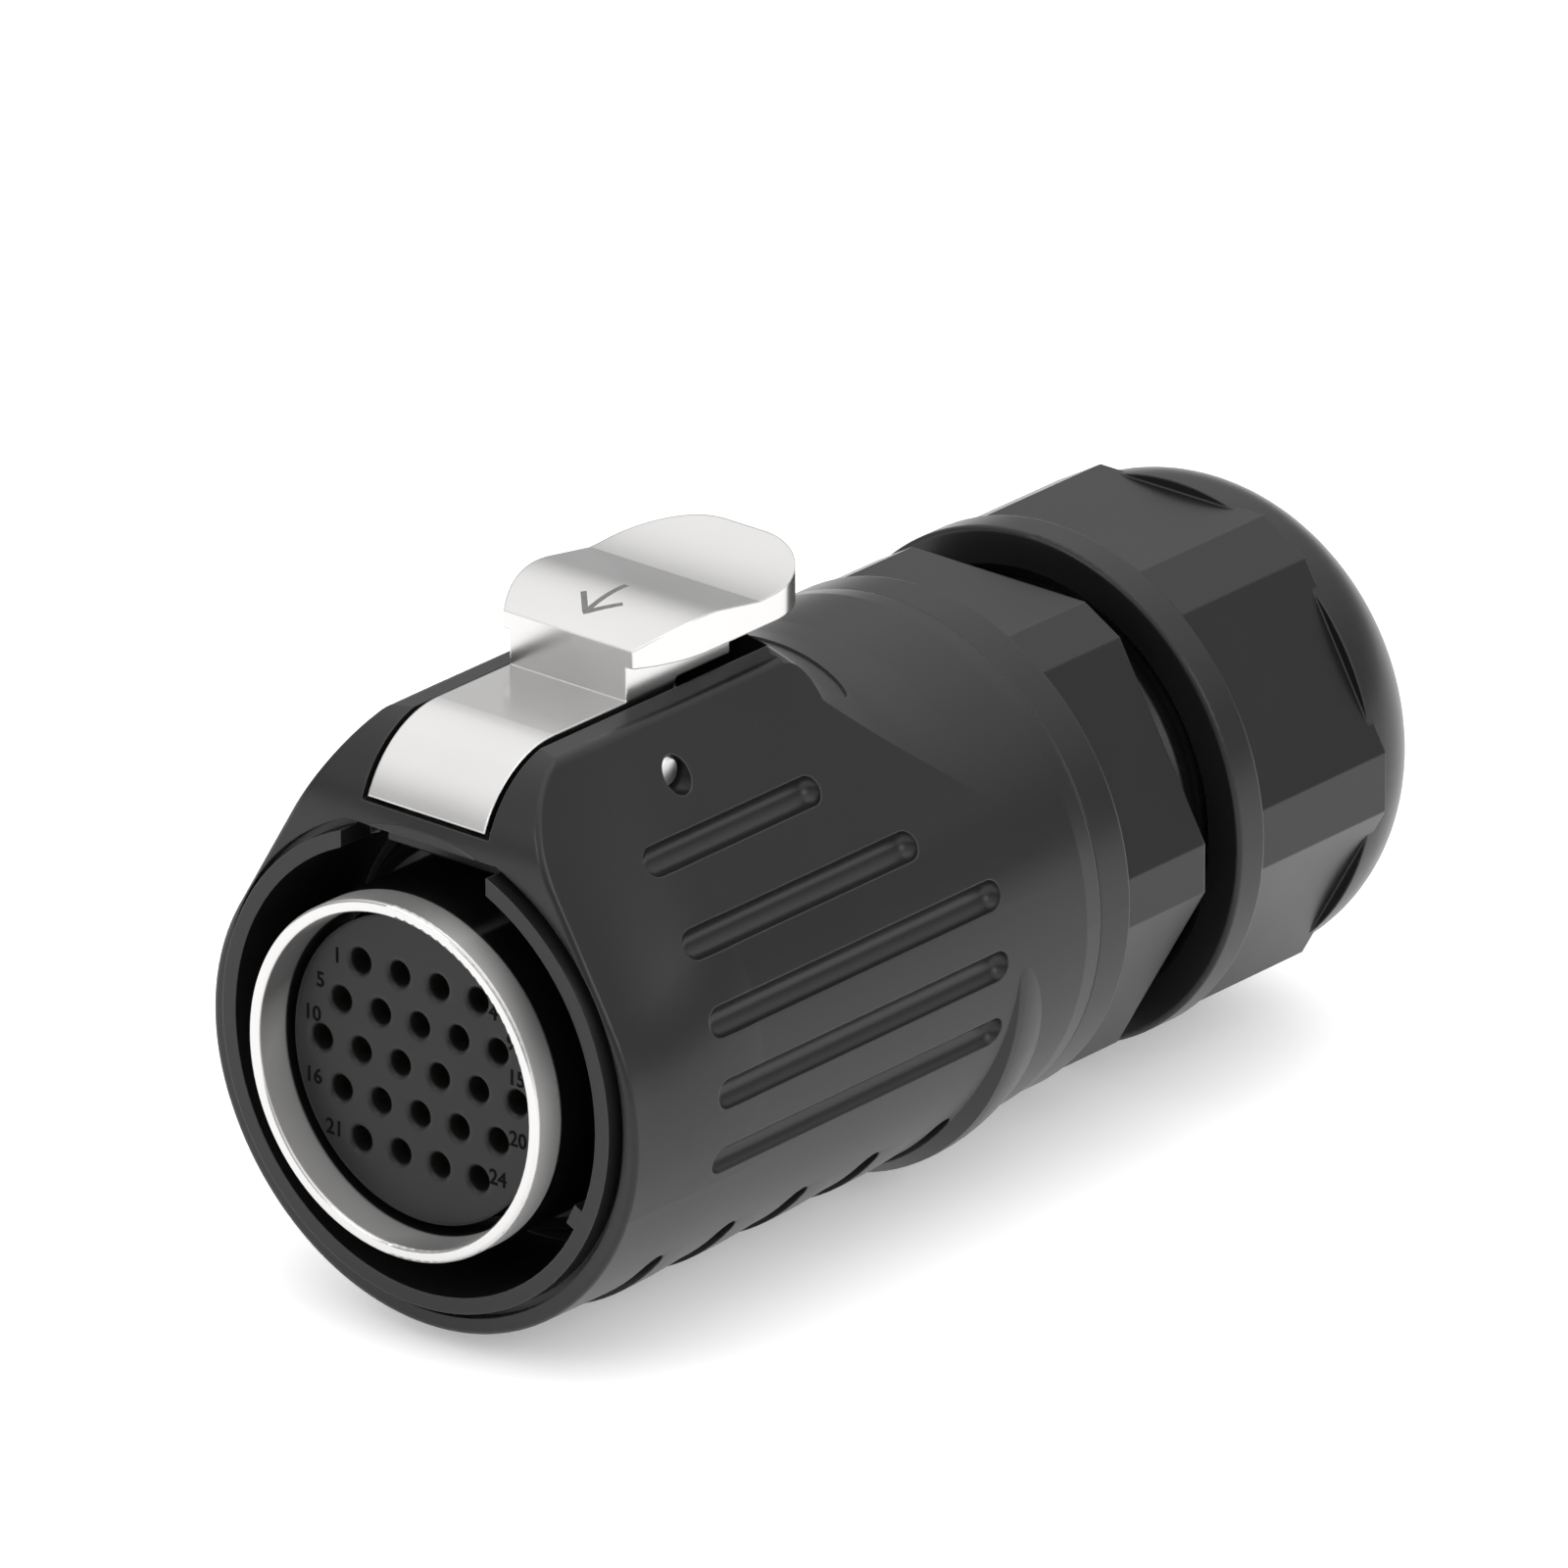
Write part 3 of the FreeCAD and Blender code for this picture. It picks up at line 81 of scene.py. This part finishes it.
def mix_colours(tree, factor, first, second, **settings):
    """A colour that runs from first, where factor is 0, to second, where it is 1."""
    sockets = {"Factor": factor, "A": first, "B": second}
    return add(tree, "Mix", sockets, data_type="RGBA", **settings).outputs["Result"]


def start_material(name, **sockets):
    """A material whose Principled shader has these plain values; names are written with underscores."""
    material = bpy.data.materials.new(name)
    material.use_nodes = True
    tree = material.node_tree
    shader = tree.nodes["Principled BSDF"]
    for key, value in sockets.items():
        shader.inputs[key.replace("_", " ")].default_value = value
    return material, tree, shader


def start_group(name, inputs, outputs):
    """An empty shader group with float inputs (name, value) and outputs (name, kind)."""
    group = bpy.data.node_groups.new(name, "ShaderNodeTree")
    for key, value in inputs:
        socket = group.interface.new_socket(key, in_out="INPUT", socket_type="NodeSocketFloat")
        socket.default_value = value
    for key, kind in outputs:
        group.interface.new_socket(key, in_out="OUTPUT", socket_type="NodeSocket" + kind)
    entry = group.nodes.new("NodeGroupInput")
    exit_node = group.nodes.new("NodeGroupOutput")
    return group, entry.outputs, exit_node


def use_group(tree, group, **sockets):
    """Places a shader group in a material; socket names are written with underscores."""
    placed = tree.nodes.new("ShaderNodeGroup")
    placed.node_tree = group
    for key, value in sockets.items():
        placed.inputs[key.replace("_", " ")].default_value = value
    return placed.outputs


def paint(material, *names):
    """Gives CAD nodes this material."""
    for name in names:
        mesh = nodes[name].data
        mesh.materials.clear()
        mesh.materials.append(material)


# %% [markdown]
# ## Edges that catch the light
#
# No moulded or plated edge is perfectly sharp. The Bevel node rounds the shading normal near an
# edge, and the angle between that rounded normal and the true one is a mask of the edges. Every
# hard material uses the normal for the soft highlight; the black plastics also use the mask for a
# painted highlight, a lighter colour along the edge.

# %% Rounded edges as a group
def make_rounded_edges():
    """The mask is gain times one minus the cosine of the angle between rounded and true normal."""
    group, given, out = start_group(
        "rounded_edges", [("Radius", 0.2 * MM), ("Gain", 4.0)], [("Normal", "Vector"), ("Mask", "Float")])
    bevel = add(group, "Bevel", {"Radius": given["Radius"]}, samples=6)
    true_normal = add(group, "NewGeometry").outputs["Normal"]
    dot = add(group, "VectorMath", {0: bevel.outputs["Normal"], 1: true_normal}, operation="DOT_PRODUCT")
    bend = add(group, "Math", {0: 1.0, 1: dot.outputs["Value"]}, operation="SUBTRACT")
    mask = add(group, "Math", {0: bend.outputs[0], 1: given["Gain"]}, operation="MULTIPLY", use_clamp=True)
    group.links.new(bevel.outputs["Normal"], out.inputs["Normal"])
    group.links.new(mask.outputs[0], out.inputs["Mask"])
    return group


rounded_edges = make_rounded_edges()

# %% [markdown]
# ## Moulded grain
#
# The mould of such a shell is spark-eroded, which leaves a very fine, even grain. A noise of
# about a fifth of a millimetre makes the height of the grain, and a much larger and weaker noise
# varies the tone, because plastic never reflects quite evenly.

# %% Grain as a group
def make_grain():
    """Two noises in Object coordinates: one as fine as size for the height, one as wide as patch for
    the tone. A noise repeats about once in 1 / scale."""
    group, given, out = start_group(
        "moulded_grain", [("Size", 0.2 * MM), ("Patch", 9 * MM)], [("Height", "Float"), ("Tone", "Float")])
    place = add(group, "TexCoord").outputs["Object"]
    fine_scale = add(group, "Math", {0: 1.0, 1: given["Size"]}, operation="DIVIDE")
    wide_scale = add(group, "Math", {0: 1.0, 1: given["Patch"]}, operation="DIVIDE")
    fine = add(group, "TexNoise", {"Vector": place, "Scale": fine_scale.outputs[0], "Detail": 2.0})
    wide = add(group, "TexNoise", {"Vector": place, "Scale": wide_scale.outputs[0], "Detail": 3.0})
    group.links.new(fine.outputs["Fac"], out.inputs["Height"])
    group.links.new(wide.outputs["Fac"], out.inputs["Tone"])
    return group


moulded_grain = make_grain()

# %% [markdown]
# ## Black plastic
#
# Shell, rear body and gland nut are glass-filled nylon: nearly black and satin, with a painted
# highlight, a lighter colour, along their edges. One function makes all the black plastics, so they
# stay one family and differ only in tone, gloss and grain.

# %% Black plastics
# Gain of the edge mask that carries the painted highlight along the edges.
EDGE_HIGHLIGHT_GAIN = 3.0
GRAIN_BUMP = 0.35


def grey(value, warmth=0.0):
    """A grey of this value; warmth is the share that red gains and blue loses."""
    return (value * (1 + warmth), value, value * (1 - warmth), 1.0)


def black_plastic(name, dark, light, gloss, grain_size, grain_depth, edge_radius, edge_highlight_tone, shine=0.25):
    """With the tone of the grain the colour runs from dark to light and the roughness from gloss[0] to
    gloss[1]; the mask of the edges mixes in the edge colour as a painted highlight, and shine scales
    the reflection."""
    material, tree, shader = start_material(name, IOR=1.5, Specular_IOR_Level=shine)
    edges = use_group(tree, rounded_edges, Radius=edge_radius, Gain=EDGE_HIGHLIGHT_GAIN)
    grain = use_group(tree, moulded_grain, Size=grain_size)
    tone = mix_colours(tree, grain["Tone"], dark, light)
    # Painted highlight: where the edge mask is high the colour turns to the lighter edge colour.
    edge_highlighted = mix_colours(tree, edges["Mask"], tone, edge_highlight_tone)
    rough = add(tree, "MapRange", {"Value": grain["Tone"], "To Min": gloss[0], "To Max": gloss[1]})
    bump = add(tree, "Bump", {"Height": grain["Height"], "Strength": GRAIN_BUMP,
                              "Distance": grain_depth, "Normal": edges["Normal"]})
    tree.links.new(edge_highlighted, shader.inputs["Base Color"])
    tree.links.new(rough.outputs["Result"], shader.inputs["Roughness"])
    tree.links.new(bump.outputs["Normal"], shader.inputs["Normal"])
    return material


# The edge colour of each black plastic is its painted highlight along the edges.
shell_plastic = black_plastic(
    "shell_plastic", dark=grey(0.007), light=grey(0.009), gloss=(0.28, 0.34), grain_size=0.16 * MM,
    grain_depth=0.006 * MM, edge_radius=0.14 * MM, edge_highlight_tone=grey(0.07), shine=0.32)
rear_plastic = black_plastic(
    "rear_plastic", dark=grey(0.007), light=grey(0.009), gloss=(0.28, 0.36), grain_size=0.18 * MM,
    grain_depth=0.006 * MM, edge_radius=0.2 * MM, edge_highlight_tone=grey(0.06), shine=0.32)
insert_plastic = black_plastic(
    "insert_plastic", dark=grey(0.006), light=grey(0.008), gloss=(0.34, 0.4), grain_size=0.12 * MM,
    grain_depth=0.006 * MM, edge_radius=0.3 * MM, edge_highlight_tone=grey(0.06), shine=0.26)
sleeve_plastic = black_plastic(
    "sleeve_plastic", dark=grey(0.002), light=grey(0.003), gloss=(0.24, 0.28), grain_size=0.15 * MM,
    grain_depth=0.002 * MM, edge_radius=0.05 * MM, edge_highlight_tone=grey(0.005), shine=0.6)
paint(shell_plastic, "outer_shell")
paint(rear_plastic, "rear_body", "gland_nut")
paint(insert_plastic, "contact_insert")
paint(sleeve_plastic, "contact_sleeve", "insert_back_plate")
print("black plastics: shell, rear, insert, sleeve")

# %% [markdown]
# ## Plated metal
#
# The latch is die-cast and the ring is turned, and both carry a satin nickel plating. Turning
# leaves fine rings round the axis and polishing leaves fine lines along the latch, so the metal
# takes a stretched noise as bump: squeezed across the lines and long along them.

# %% Plated metal
LINE_BUMP = 0.25
NICKEL_WARMTH = 0.01
CLOUD_SCALE = 120.0
CLOUD_SHADE = 0.93


def plated_metal(name, colour, gloss, stretch, line_depth, edge_radius):
    """stretch scales the noise of the lines on X, Y and Z: a small number runs them along that
    direction. A wide noise takes the colour to CLOUD_SHADE of itself and moves the roughness."""
    material, tree, shader = start_material(name, Metallic=1.0)
    edges = use_group(tree, rounded_edges, Radius=edge_radius, Gain=EDGE_HIGHLIGHT_GAIN)
    place = add(tree, "TexCoord").outputs["Object"]
    lined = add(tree, "Mapping", {"Vector": place, "Scale": stretch})
    lines = add(tree, "TexNoise", {"Vector": lined.outputs["Vector"], "Scale": 1.0, "Detail": 2.0})
    clouds = add(tree, "TexNoise", {"Vector": place, "Scale": CLOUD_SCALE, "Detail": 3.0}).outputs["Fac"]
    tone = mix_colours(tree, clouds, grey(colour * CLOUD_SHADE, NICKEL_WARMTH), grey(colour, NICKEL_WARMTH))
    rough = add(tree, "MapRange", {"Value": clouds, "To Min": gloss[0], "To Max": gloss[1]})
    bump = add(tree, "Bump", {"Height": lines.outputs["Fac"], "Strength": LINE_BUMP,
                              "Distance": line_depth, "Normal": edges["Normal"]})
    tree.links.new(tone, shader.inputs["Base Color"])
    tree.links.new(rough.outputs["Result"], shader.inputs["Roughness"])
    tree.links.new(bump.outputs["Normal"], shader.inputs["Normal"])
    return material


latch_metal = plated_metal(
    "latch_metal", colour=0.62, gloss=(0.17, 0.24), stretch=(300.0, 9000.0, 9000.0),
    line_depth=0.002 * MM, edge_radius=0.16 * MM)
ring_metal = plated_metal(
    "ring_metal", colour=0.6, gloss=(0.16, 0.22), stretch=(400.0, 12000.0, 400.0),
    line_depth=0.002 * MM, edge_radius=0.08 * MM)
steel = plated_metal(
    "bright_steel", colour=0.6, gloss=(0.25, 0.35), stretch=(9000.0, 400.0, 9000.0),
    line_depth=0.003 * MM, edge_radius=0.08 * MM)
paint(latch_metal, "latch_lever")
paint(ring_metal, "metal_ring")
paint(steel, "latch_pivot_pin", "latch_spring")
print("plated metals: latch, ring, pin and spring")

# %% [markdown]
# ## Duller stretches of the plating and painted shade in the gaps
#
# Only the ring's front face is polished: its walls are blasted, so they scatter the light in soft
# patches. Where the ring runs back into the gap behind its front, and where the latch runs below the
# shell, the colour is darkened: this is painted shade. Both effects are worked into the finished
# materials, between the colour or roughness that is there and the shader.

# %% Walls and painted shade in the gaps
WALL_FACING = (0.75, 0.35)
PATCH_SCALE = 110.0
PATCH_RANGE = (0.35, 0.6)
PATCH_DARKEST = 0.4


def blasted_walls(material, dull, metal):
    """The walls of a ring about Y are blasted: where the face looks away from Y the roughness becomes
    dull, the metallic share becomes metal, and a wide noise darkens the colour in soft patches."""
    tree = material.node_tree
    shader = tree.nodes["Principled BSDF"]
    normal = add(tree, "NewGeometry").outputs["Normal"]
    along = add(tree, "SeparateXYZ", {"Vector": normal}).outputs["Y"]
    facing = add(tree, "Math", {0: along}, operation="ABSOLUTE").outputs[0]
    wall = add(tree, "MapRange", {"Value": facing, "From Min": WALL_FACING[0], "From Max": WALL_FACING[1]})
    wall = wall.outputs["Result"]
    polished = shader.inputs["Roughness"].links[0].from_socket
    rough = add(tree, "Mix", {"Factor": wall, "A": polished, "B": dull})
    share = add(tree, "Mix", {"Factor": wall, "A": 1.0, "B": metal})
    place = add(tree, "TexCoord").outputs["Object"]
    patches = add(tree, "TexNoise", {"Vector": place, "Scale": PATCH_SCALE, "Detail": 0.0}).outputs["Fac"]
    sheen = add(tree, "MapRange", {"Value": patches, "From Min": PATCH_RANGE[0], "From Max": PATCH_RANGE[1],
                                   "To Min": PATCH_DARKEST})
    plated = shader.inputs["Base Color"].links[0].from_socket
    tone = mix_colours(tree, wall, plated, sheen.outputs["Result"], blend_type="MULTIPLY")
    tree.links.new(tone, shader.inputs["Base Color"])
    tree.links.new(rough.outputs["Result"], shader.inputs["Roughness"])
    tree.links.new(share.outputs["Result"], shader.inputs["Metallic"])


def darken_beyond(material, axis, start, end, dark):
    """From start to end along the axis the colour falls to dark: painted shade where the part runs into a
    gap.
    """
    tree = material.node_tree
    shader = tree.nodes["Principled BSDF"]
    place = add(tree, "TexCoord").outputs["Object"]
    along = add(tree, "SeparateXYZ", {"Vector": place}).outputs[axis]
    shade_share = add(tree, "MapRange", {"Value": along, "From Min": start, "From Max": end}).outputs["Result"]
    plated = shader.inputs["Base Color"].links[0].from_socket
    tree.links.new(mix_colours(tree, shade_share, plated, grey(dark)), shader.inputs["Base Color"])


blasted_walls(ring_metal, dull=0.42, metal=0.66)
# Painted shade on the ring where it runs back into the gap behind its front.
darken_beyond(ring_metal, "Y", start=2.05 * MM, end=2.25 * MM, dark=0.01)
# Painted shade on the latch where it runs below the shell.
darken_beyond(latch_metal, "Z", start=15.7 * MM, end=15.5 * MM, dark=0.03)
print("nodes in the ring's material:", len(ring_metal.node_tree.nodes))

# %% [markdown]
# ## Contacts, rubber and the claws
#
# The contacts are gold plated. The seals are rubber, which is duller and blacker than the shell.
# The claws and the washer of the gland are natural nylon, milky and slightly see-through at the
# edges, which a little subsurface scattering gives.

# %% Gold, rubber and natural nylon
CONTACT_COUNT = 24
TARNISH = 0.85
TARNISH_SCALE = 900.0


def coloured_metal(name, colour, gloss):
    """A noise takes the colour to TARNISH of itself and the roughness from gloss[0] to gloss[1]."""
    material, tree, shader = start_material(name, Metallic=1.0)
    place = add(tree, "TexCoord").outputs["Object"]
    clouds = add(tree, "TexNoise", {"Vector": place, "Scale": TARNISH_SCALE, "Detail": 3.0}).outputs["Fac"]
    darker = tuple(share * TARNISH for share in colour[:3]) + (1.0,)
    rough = add(tree, "MapRange", {"Value": clouds, "To Min": gloss[0], "To Max": gloss[1]})
    tree.links.new(mix_colours(tree, clouds, darker, colour), shader.inputs["Base Color"])
    tree.links.new(rough.outputs["Result"], shader.inputs["Roughness"])
    return material


gold = coloured_metal("gold_plating", colour=(0.9, 0.66, 0.28, 1.0), gloss=(0.18, 0.3))
brass = coloured_metal("turned_brass", colour=(0.72, 0.55, 0.28, 1.0), gloss=(0.25, 0.4))
# The edge colour of each black plastic is its painted highlight along the edges.
rubber = black_plastic(
    "seal_rubber", dark=grey(0.008), light=grey(0.012), gloss=(0.6, 0.75), grain_size=0.3 * MM,
    grain_depth=0.01 * MM, edge_radius=0.1 * MM, edge_highlight_tone=grey(0.015))
nylon = black_plastic(
    "natural_nylon", dark=grey(0.55, 0.03), light=grey(0.62, 0.03), gloss=(0.4, 0.5), grain_size=0.3 * MM,
    grain_depth=0.01 * MM, edge_radius=0.1 * MM, edge_highlight_tone=grey(0.7))
nylon_shader = nylon.node_tree.nodes["Principled BSDF"]
nylon_shader.inputs["Subsurface Weight"].default_value = 0.2
nylon_shader.inputs["Subsurface Radius"].default_value = (1 * MM, 1 * MM, 1 * MM)
contacts = [f"contact_{number:02d}" for number in range(1, CONTACT_COUNT + 1)]
paint(gold, *contacts)
paint(brass, "insert_ring")
paint(rubber, "mating_seal", "body_seal", "cable_seal")
paint(nylon, "clamp_claws", "thrust_washer")
print("contacts:", len(contacts))

# %% [markdown]
# ## Contact numbers
#
# The first and last contact of each row is numbered, so that a wireman finds the right one. The
# digits stand slightly proud of the insert, as they do when they are cut into the mould, and are
# blacker than it. Text objects give clean digits; each is turned into a mesh before it is put in
# place.

# %% Numbers beside the rows
FACE = 2.3 * MM
DIGIT_HEIGHT = 1.35 * MM
DIGIT_THICKNESS = 0.02 * MM
DIGIT_BOLDNESS = 0.02 * MM
DIGIT_LIFT = 0.005 * MM
NUMBER_PLACES = {
    1: (-6.2, 5.5), 5: (-7.5, 3.6), 10: (-8.15, 1.35), 16: (-8.1, -2.6), 21: (-6.5, -5.5),
    4: (5.75, 5.2), 9: (7.1, 3.65), 15: (7.5, 1.5), 20: (7.6, -2.35), 24: (6.05, -5.2)}


def number_on_face(digits, x, z):
    """A number that lies on the insert's face, centred on x and z and read from the front: the text's
    own x stays, its y becomes the height z, and its thickness points to the front."""
    curve = bpy.data.curves.new("number_" + digits, "FONT")
    curve.body = digits
    curve.size = DIGIT_HEIGHT
    curve.extrude = DIGIT_THICKNESS
    curve.offset = DIGIT_BOLDNESS
    curve.align_x = "CENTER"
    curve.align_y = "CENTER"
    curve.resolution_u = 3
    source = bpy.data.objects.new("number_" + digits, curve)
    bpy.context.scene.collection.objects.link(source)
    bpy.context.view_layer.update()
    mesh = bpy.data.meshes.new_from_object(source.evaluated_get(bpy.context.evaluated_depsgraph_get()))
    bpy.data.objects.remove(source)
    flat = np.zeros(len(mesh.vertices) * 3)
    mesh.vertices.foreach_get("co", flat)
    flat = flat.reshape(-1, 3)
    placed = np.stack([flat[:, 0] + x, FACE - flat[:, 2] - DIGIT_LIFT, flat[:, 1] + z], axis=1)
    mesh.vertices.foreach_set("co", placed.ravel())
    mesh.update()
    piece = bpy.data.objects.new("number_" + digits, mesh)
    bpy.context.scene.collection.objects.link(piece)
    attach(piece, "plug")
    return piece


def speckled(name, dark, light, scale, **sockets):
    """A material whose colour runs from dark to light with a noise of this scale."""
    material, tree, shader = start_material(name, **sockets)
    place = add(tree, "TexCoord").outputs["Object"]
    noise = add(tree, "TexNoise", {"Vector": place, "Scale": scale, "Detail": 2.0}).outputs["Fac"]
    tree.links.new(mix_colours(tree, noise, grey(dark), grey(light)), shader.inputs["Base Color"])
    return material


ink = speckled("number_ink", dark=0.001, light=0.003, scale=4000.0, Roughness=0.7, Specular_IOR_Level=0.05)
for number, (x, z) in NUMBER_PLACES.items():
    piece = number_on_face(str(number), x * MM, z * MM)
    piece.data.materials.append(ink)
print("numbers:", len(NUMBER_PLACES))

# %% [markdown]
# ## Mark on the thumb pad
#
# An arrow on the pad shows where to press. It is engraved, so it looks duller and darker than the
# plating. Each line of the arrow is a ribbon whose corners are dropped onto the pad from above, so
# that it follows the wave of the pad.

# %% Press mark
RIBBON_WIDTH = 0.36 * MM
RIBBON_STEPS = 12
RIBBON_LIFT = 0.006 * MM
ABOVE_PAD = 40 * MM
MARK = {
    "mark_shaft": [(0.0, 21.0), (0.0, 17.4)],
    "mark_head": [(-1.5, 18.9), (0.0, 17.3), (1.5, 18.9)],
}


def ribbon_on_pad(name, points, width):
    """A ribbon along a line of (x, y) points: both sides lie half the width from the line, at right
    angles to the step from the point before to the point after, and every corner takes the height
    that a ray from above finds on the latch."""
    points = np.array(points)
    shares = (np.arange(RIBBON_STEPS) / RIBBON_STEPS)[:, None]
    legs = [start + (stop - start) * shares for start, stop in zip(points[:-1], points[1:])]
    line = np.concatenate(legs + [points[-1:]])
    padded = np.concatenate([line[:1], line, line[-1:]])
    along = padded[2:] - padded[:-2]
    along /= np.linalg.norm(along, axis=1, keepdims=True)
    sideways = np.stack([-along[:, 1], along[:, 0]], axis=1) * width / 2
    flat = np.stack([line + sideways, line - sideways], axis=1).reshape(-1, 2)
    latch = nodes["latch_lever"]
    heights = [latch.ray_cast((x, y, ABOVE_PAD), (0, 0, -1))[1].z + RIBBON_LIFT for x, y in flat]
    corners = np.column_stack([flat, heights])
    first = np.arange(len(line) - 1) * 2
    faces = np.stack([first, first + 1, first + 3, first + 2], axis=1)
    mesh = bpy.data.meshes.new(name)
    mesh.from_pydata(corners.tolist(), [], faces.tolist())
    ribbon = bpy.data.objects.new(name, mesh)
    bpy.context.scene.collection.objects.link(ribbon)
    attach(ribbon, "latch")
    return ribbon


engraved = speckled("engraved_metal", dark=0.1, light=0.2, scale=5000.0, Metallic=0.6, Roughness=0.45)
for name, points in MARK.items():
    ribbon = ribbon_on_pad(name, [(x * MM, y * MM) for x, y in points], RIBBON_WIDTH)
    ribbon.data.materials.append(engraved)
    print(name, "has", len(ribbon.data.polygons), "faces")

# %% [markdown]
# ## Thread on the neck
#
# The gland nut runs on a coarse moulded thread. It is a helix: a small rounded ridge carried round
# the neck while it moves along it. The grid's one parameter runs along the helix and the other
# across the ridge. The foot of the ridge is sunk a little into the neck, so no gap shows.

# %% Neck thread
ROOT_DEPTH = 0.03 * MM
STEPS_PER_TURN = 72
ROWS_ACROSS = 7


def helical_ridge(name, radius, crest, pitch, start, end, width):
    """A ridge on a cylinder about Y: at turn angle t the ridge's middle is at start + pitch t / 2 pi,
    across it the height is crest times a squared cosine, and in the first and last half turn the
    height fades to nothing."""
    turns = (end - start - width) / pitch
    along = np.linspace(0, 1, int(turns * STEPS_PER_TURN) + 1)[:, None]
    across = np.linspace(-1, 1, ROWS_ACROSS)[None, :]
    angle = 2 * np.pi * turns * along
    fade = np.clip(np.minimum(along, 1 - along) * turns * 2, 0, 1)
    height = radius - ROOT_DEPTH + (crest + ROOT_DEPTH) * np.cos(across * np.pi / 2) ** 2 * fade
    y = start + width / 2 + pitch * turns * along + across * width / 2
    points = np.stack([height * np.cos(angle), y, height * np.sin(angle)], axis=2).reshape(-1, 3)
    index = np.arange(height.size).reshape(height.shape)
    faces = np.stack([index[:-1, :-1], index[:-1, 1:], index[1:, 1:], index[1:, :-1]], axis=2)
    mesh = bpy.data.meshes.new(name)
    mesh.from_pydata(points.tolist(), [], faces.reshape(-1, 4).tolist())
    mesh.polygons.foreach_set("use_smooth", [True] * len(mesh.polygons))
    piece = bpy.data.objects.new(name, mesh)
    bpy.context.scene.collection.objects.link(piece)
    return piece


neck_thread = helical_ridge(
    "neck_thread", radius=12.6 * MM, crest=0.22 * MM, pitch=1.5 * MM, start=55.2 * MM, end=66.8 * MM,
    width=1.1 * MM)
neck_thread.data.materials.append(rear_plastic)
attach(neck_thread, "plug")
print("neck_thread has", len(neck_thread.data.polygons), "faces")

# %% [markdown]
# ## Floor
#
# The photograph shows the plug on plain white. A pale floor just below it gives that. It is dull,
# and it glows a little, so that the shadow of the plug stays light.

# %% Floor
FLOOR_REACH = 3.0
FLOOR_GLOW = 0.3
lowest = float(cad_box[0][2])
corner_signs = [(-1, -1), (1, -1), (1, 1), (-1, 1)]
floor_corners = [(x * FLOOR_REACH, y * FLOOR_REACH, lowest) for x, y in corner_signs]
floor_mesh = bpy.data.meshes.new("floor")
floor_mesh.from_pydata(floor_corners, [], [(0, 1, 2, 3)])
floor = bpy.data.objects.new("floor", floor_mesh)
bpy.context.scene.collection.objects.link(floor)
pale = speckled(
    "pale_floor", dark=0.9, light=0.92, scale=8.0, Roughness=0.9, Specular_IOR_Level=0.0,
    Emission_Color=grey(1.0), Emission_Strength=FLOOR_GLOW)
floor_mesh.materials.append(pale)
print("floor at", round(lowest, 4))

# %% [markdown]
# ## Light
#
# A white sky that grows brighter upwards lights the plug from all round, dimly from the horizon, so
# that black plastic stays black. Three soft boxes shape it: a broad one above for the latch and the
# top, one from the right for the flank, and a narrow one in front for the ring.

# %% Light
SKY_RISE = (0.2, 0.7)
SKY_GLOW = (0.5, 1.35)
world = bpy.data.worlds.new("studio")
bpy.context.scene.world = world
world.use_nodes = True
sky = world.node_tree
direction = add(sky, "TexCoord").outputs["Generated"]
upward = add(sky, "SeparateXYZ", {"Vector": direction}).outputs["Z"]
rise = {"Value": upward, "From Min": SKY_RISE[0], "From Max": SKY_RISE[1],
        "To Min": SKY_GLOW[0], "To Max": SKY_GLOW[1]}
glow = add(sky, "MapRange", rise, interpolation_type="SMOOTHSTEP")
sky.links.new(glow.outputs["Result"], sky.nodes["Background"].inputs["Strength"])
sky.nodes["Background"].inputs["Color"].default_value = grey(1.0)
bpy.context.scene.view_settings.view_transform = "Standard"
middle = Vector((0, 0.038, 0))


def soft_box(name, place, size, power):
    """A rectangular light at place that faces the middle of the plug; power is in watts."""
    lamp = bpy.data.lights.new(name, "AREA")
    lamp.shape = "RECTANGLE"
    lamp.size, lamp.size_y = size
    lamp.energy = power
    box = bpy.data.objects.new(name, lamp)
    box.location = place
    box.rotation_euler = (middle - Vector(place)).to_track_quat("-Z", "Y").to_euler()
    bpy.context.scene.collection.objects.link(box)


soft_box("top_box", place=(0.05, 0.1, 0.7), size=(0.7, 0.7), power=1.2)
soft_box("flank_box", place=(0.6, 0.1, 0.3), size=(0.35, 0.35), power=1.0)
soft_box("front_box", place=(-0.25, -0.6, 0.3), size=(0.2, 0.3), power=0.8)
print("lights:", len(bpy.data.lights))

# %% [markdown]
# ## Camera
#
# Place, direction and lens were worked out from the photograph, so that the circles of the ring and
# the flats of the gland fall where the photograph has them. A long lens from far away gives the weak
# perspective of a product picture.

# %% Camera
CAMERA_PLACE = (0.88665, -1.01661, 0.58626)
CAMERA_LOOK = (-0.594076, 0.704738, -0.387837)
camera_data = bpy.data.cameras.new("camera")
camera = bpy.data.objects.new("camera", camera_data)
bpy.context.scene.collection.objects.link(camera)
camera.location = CAMERA_PLACE
camera.rotation_euler = Vector(CAMERA_LOOK).to_track_quat("-Z", "Y").to_euler()
camera_data.sensor_width = 36.0
camera_data.lens = 582.7
camera_data.clip_start = 0.05
bpy.context.scene.camera = camera
print("camera is", round((camera.location - middle).length, 2), "m from the plug")
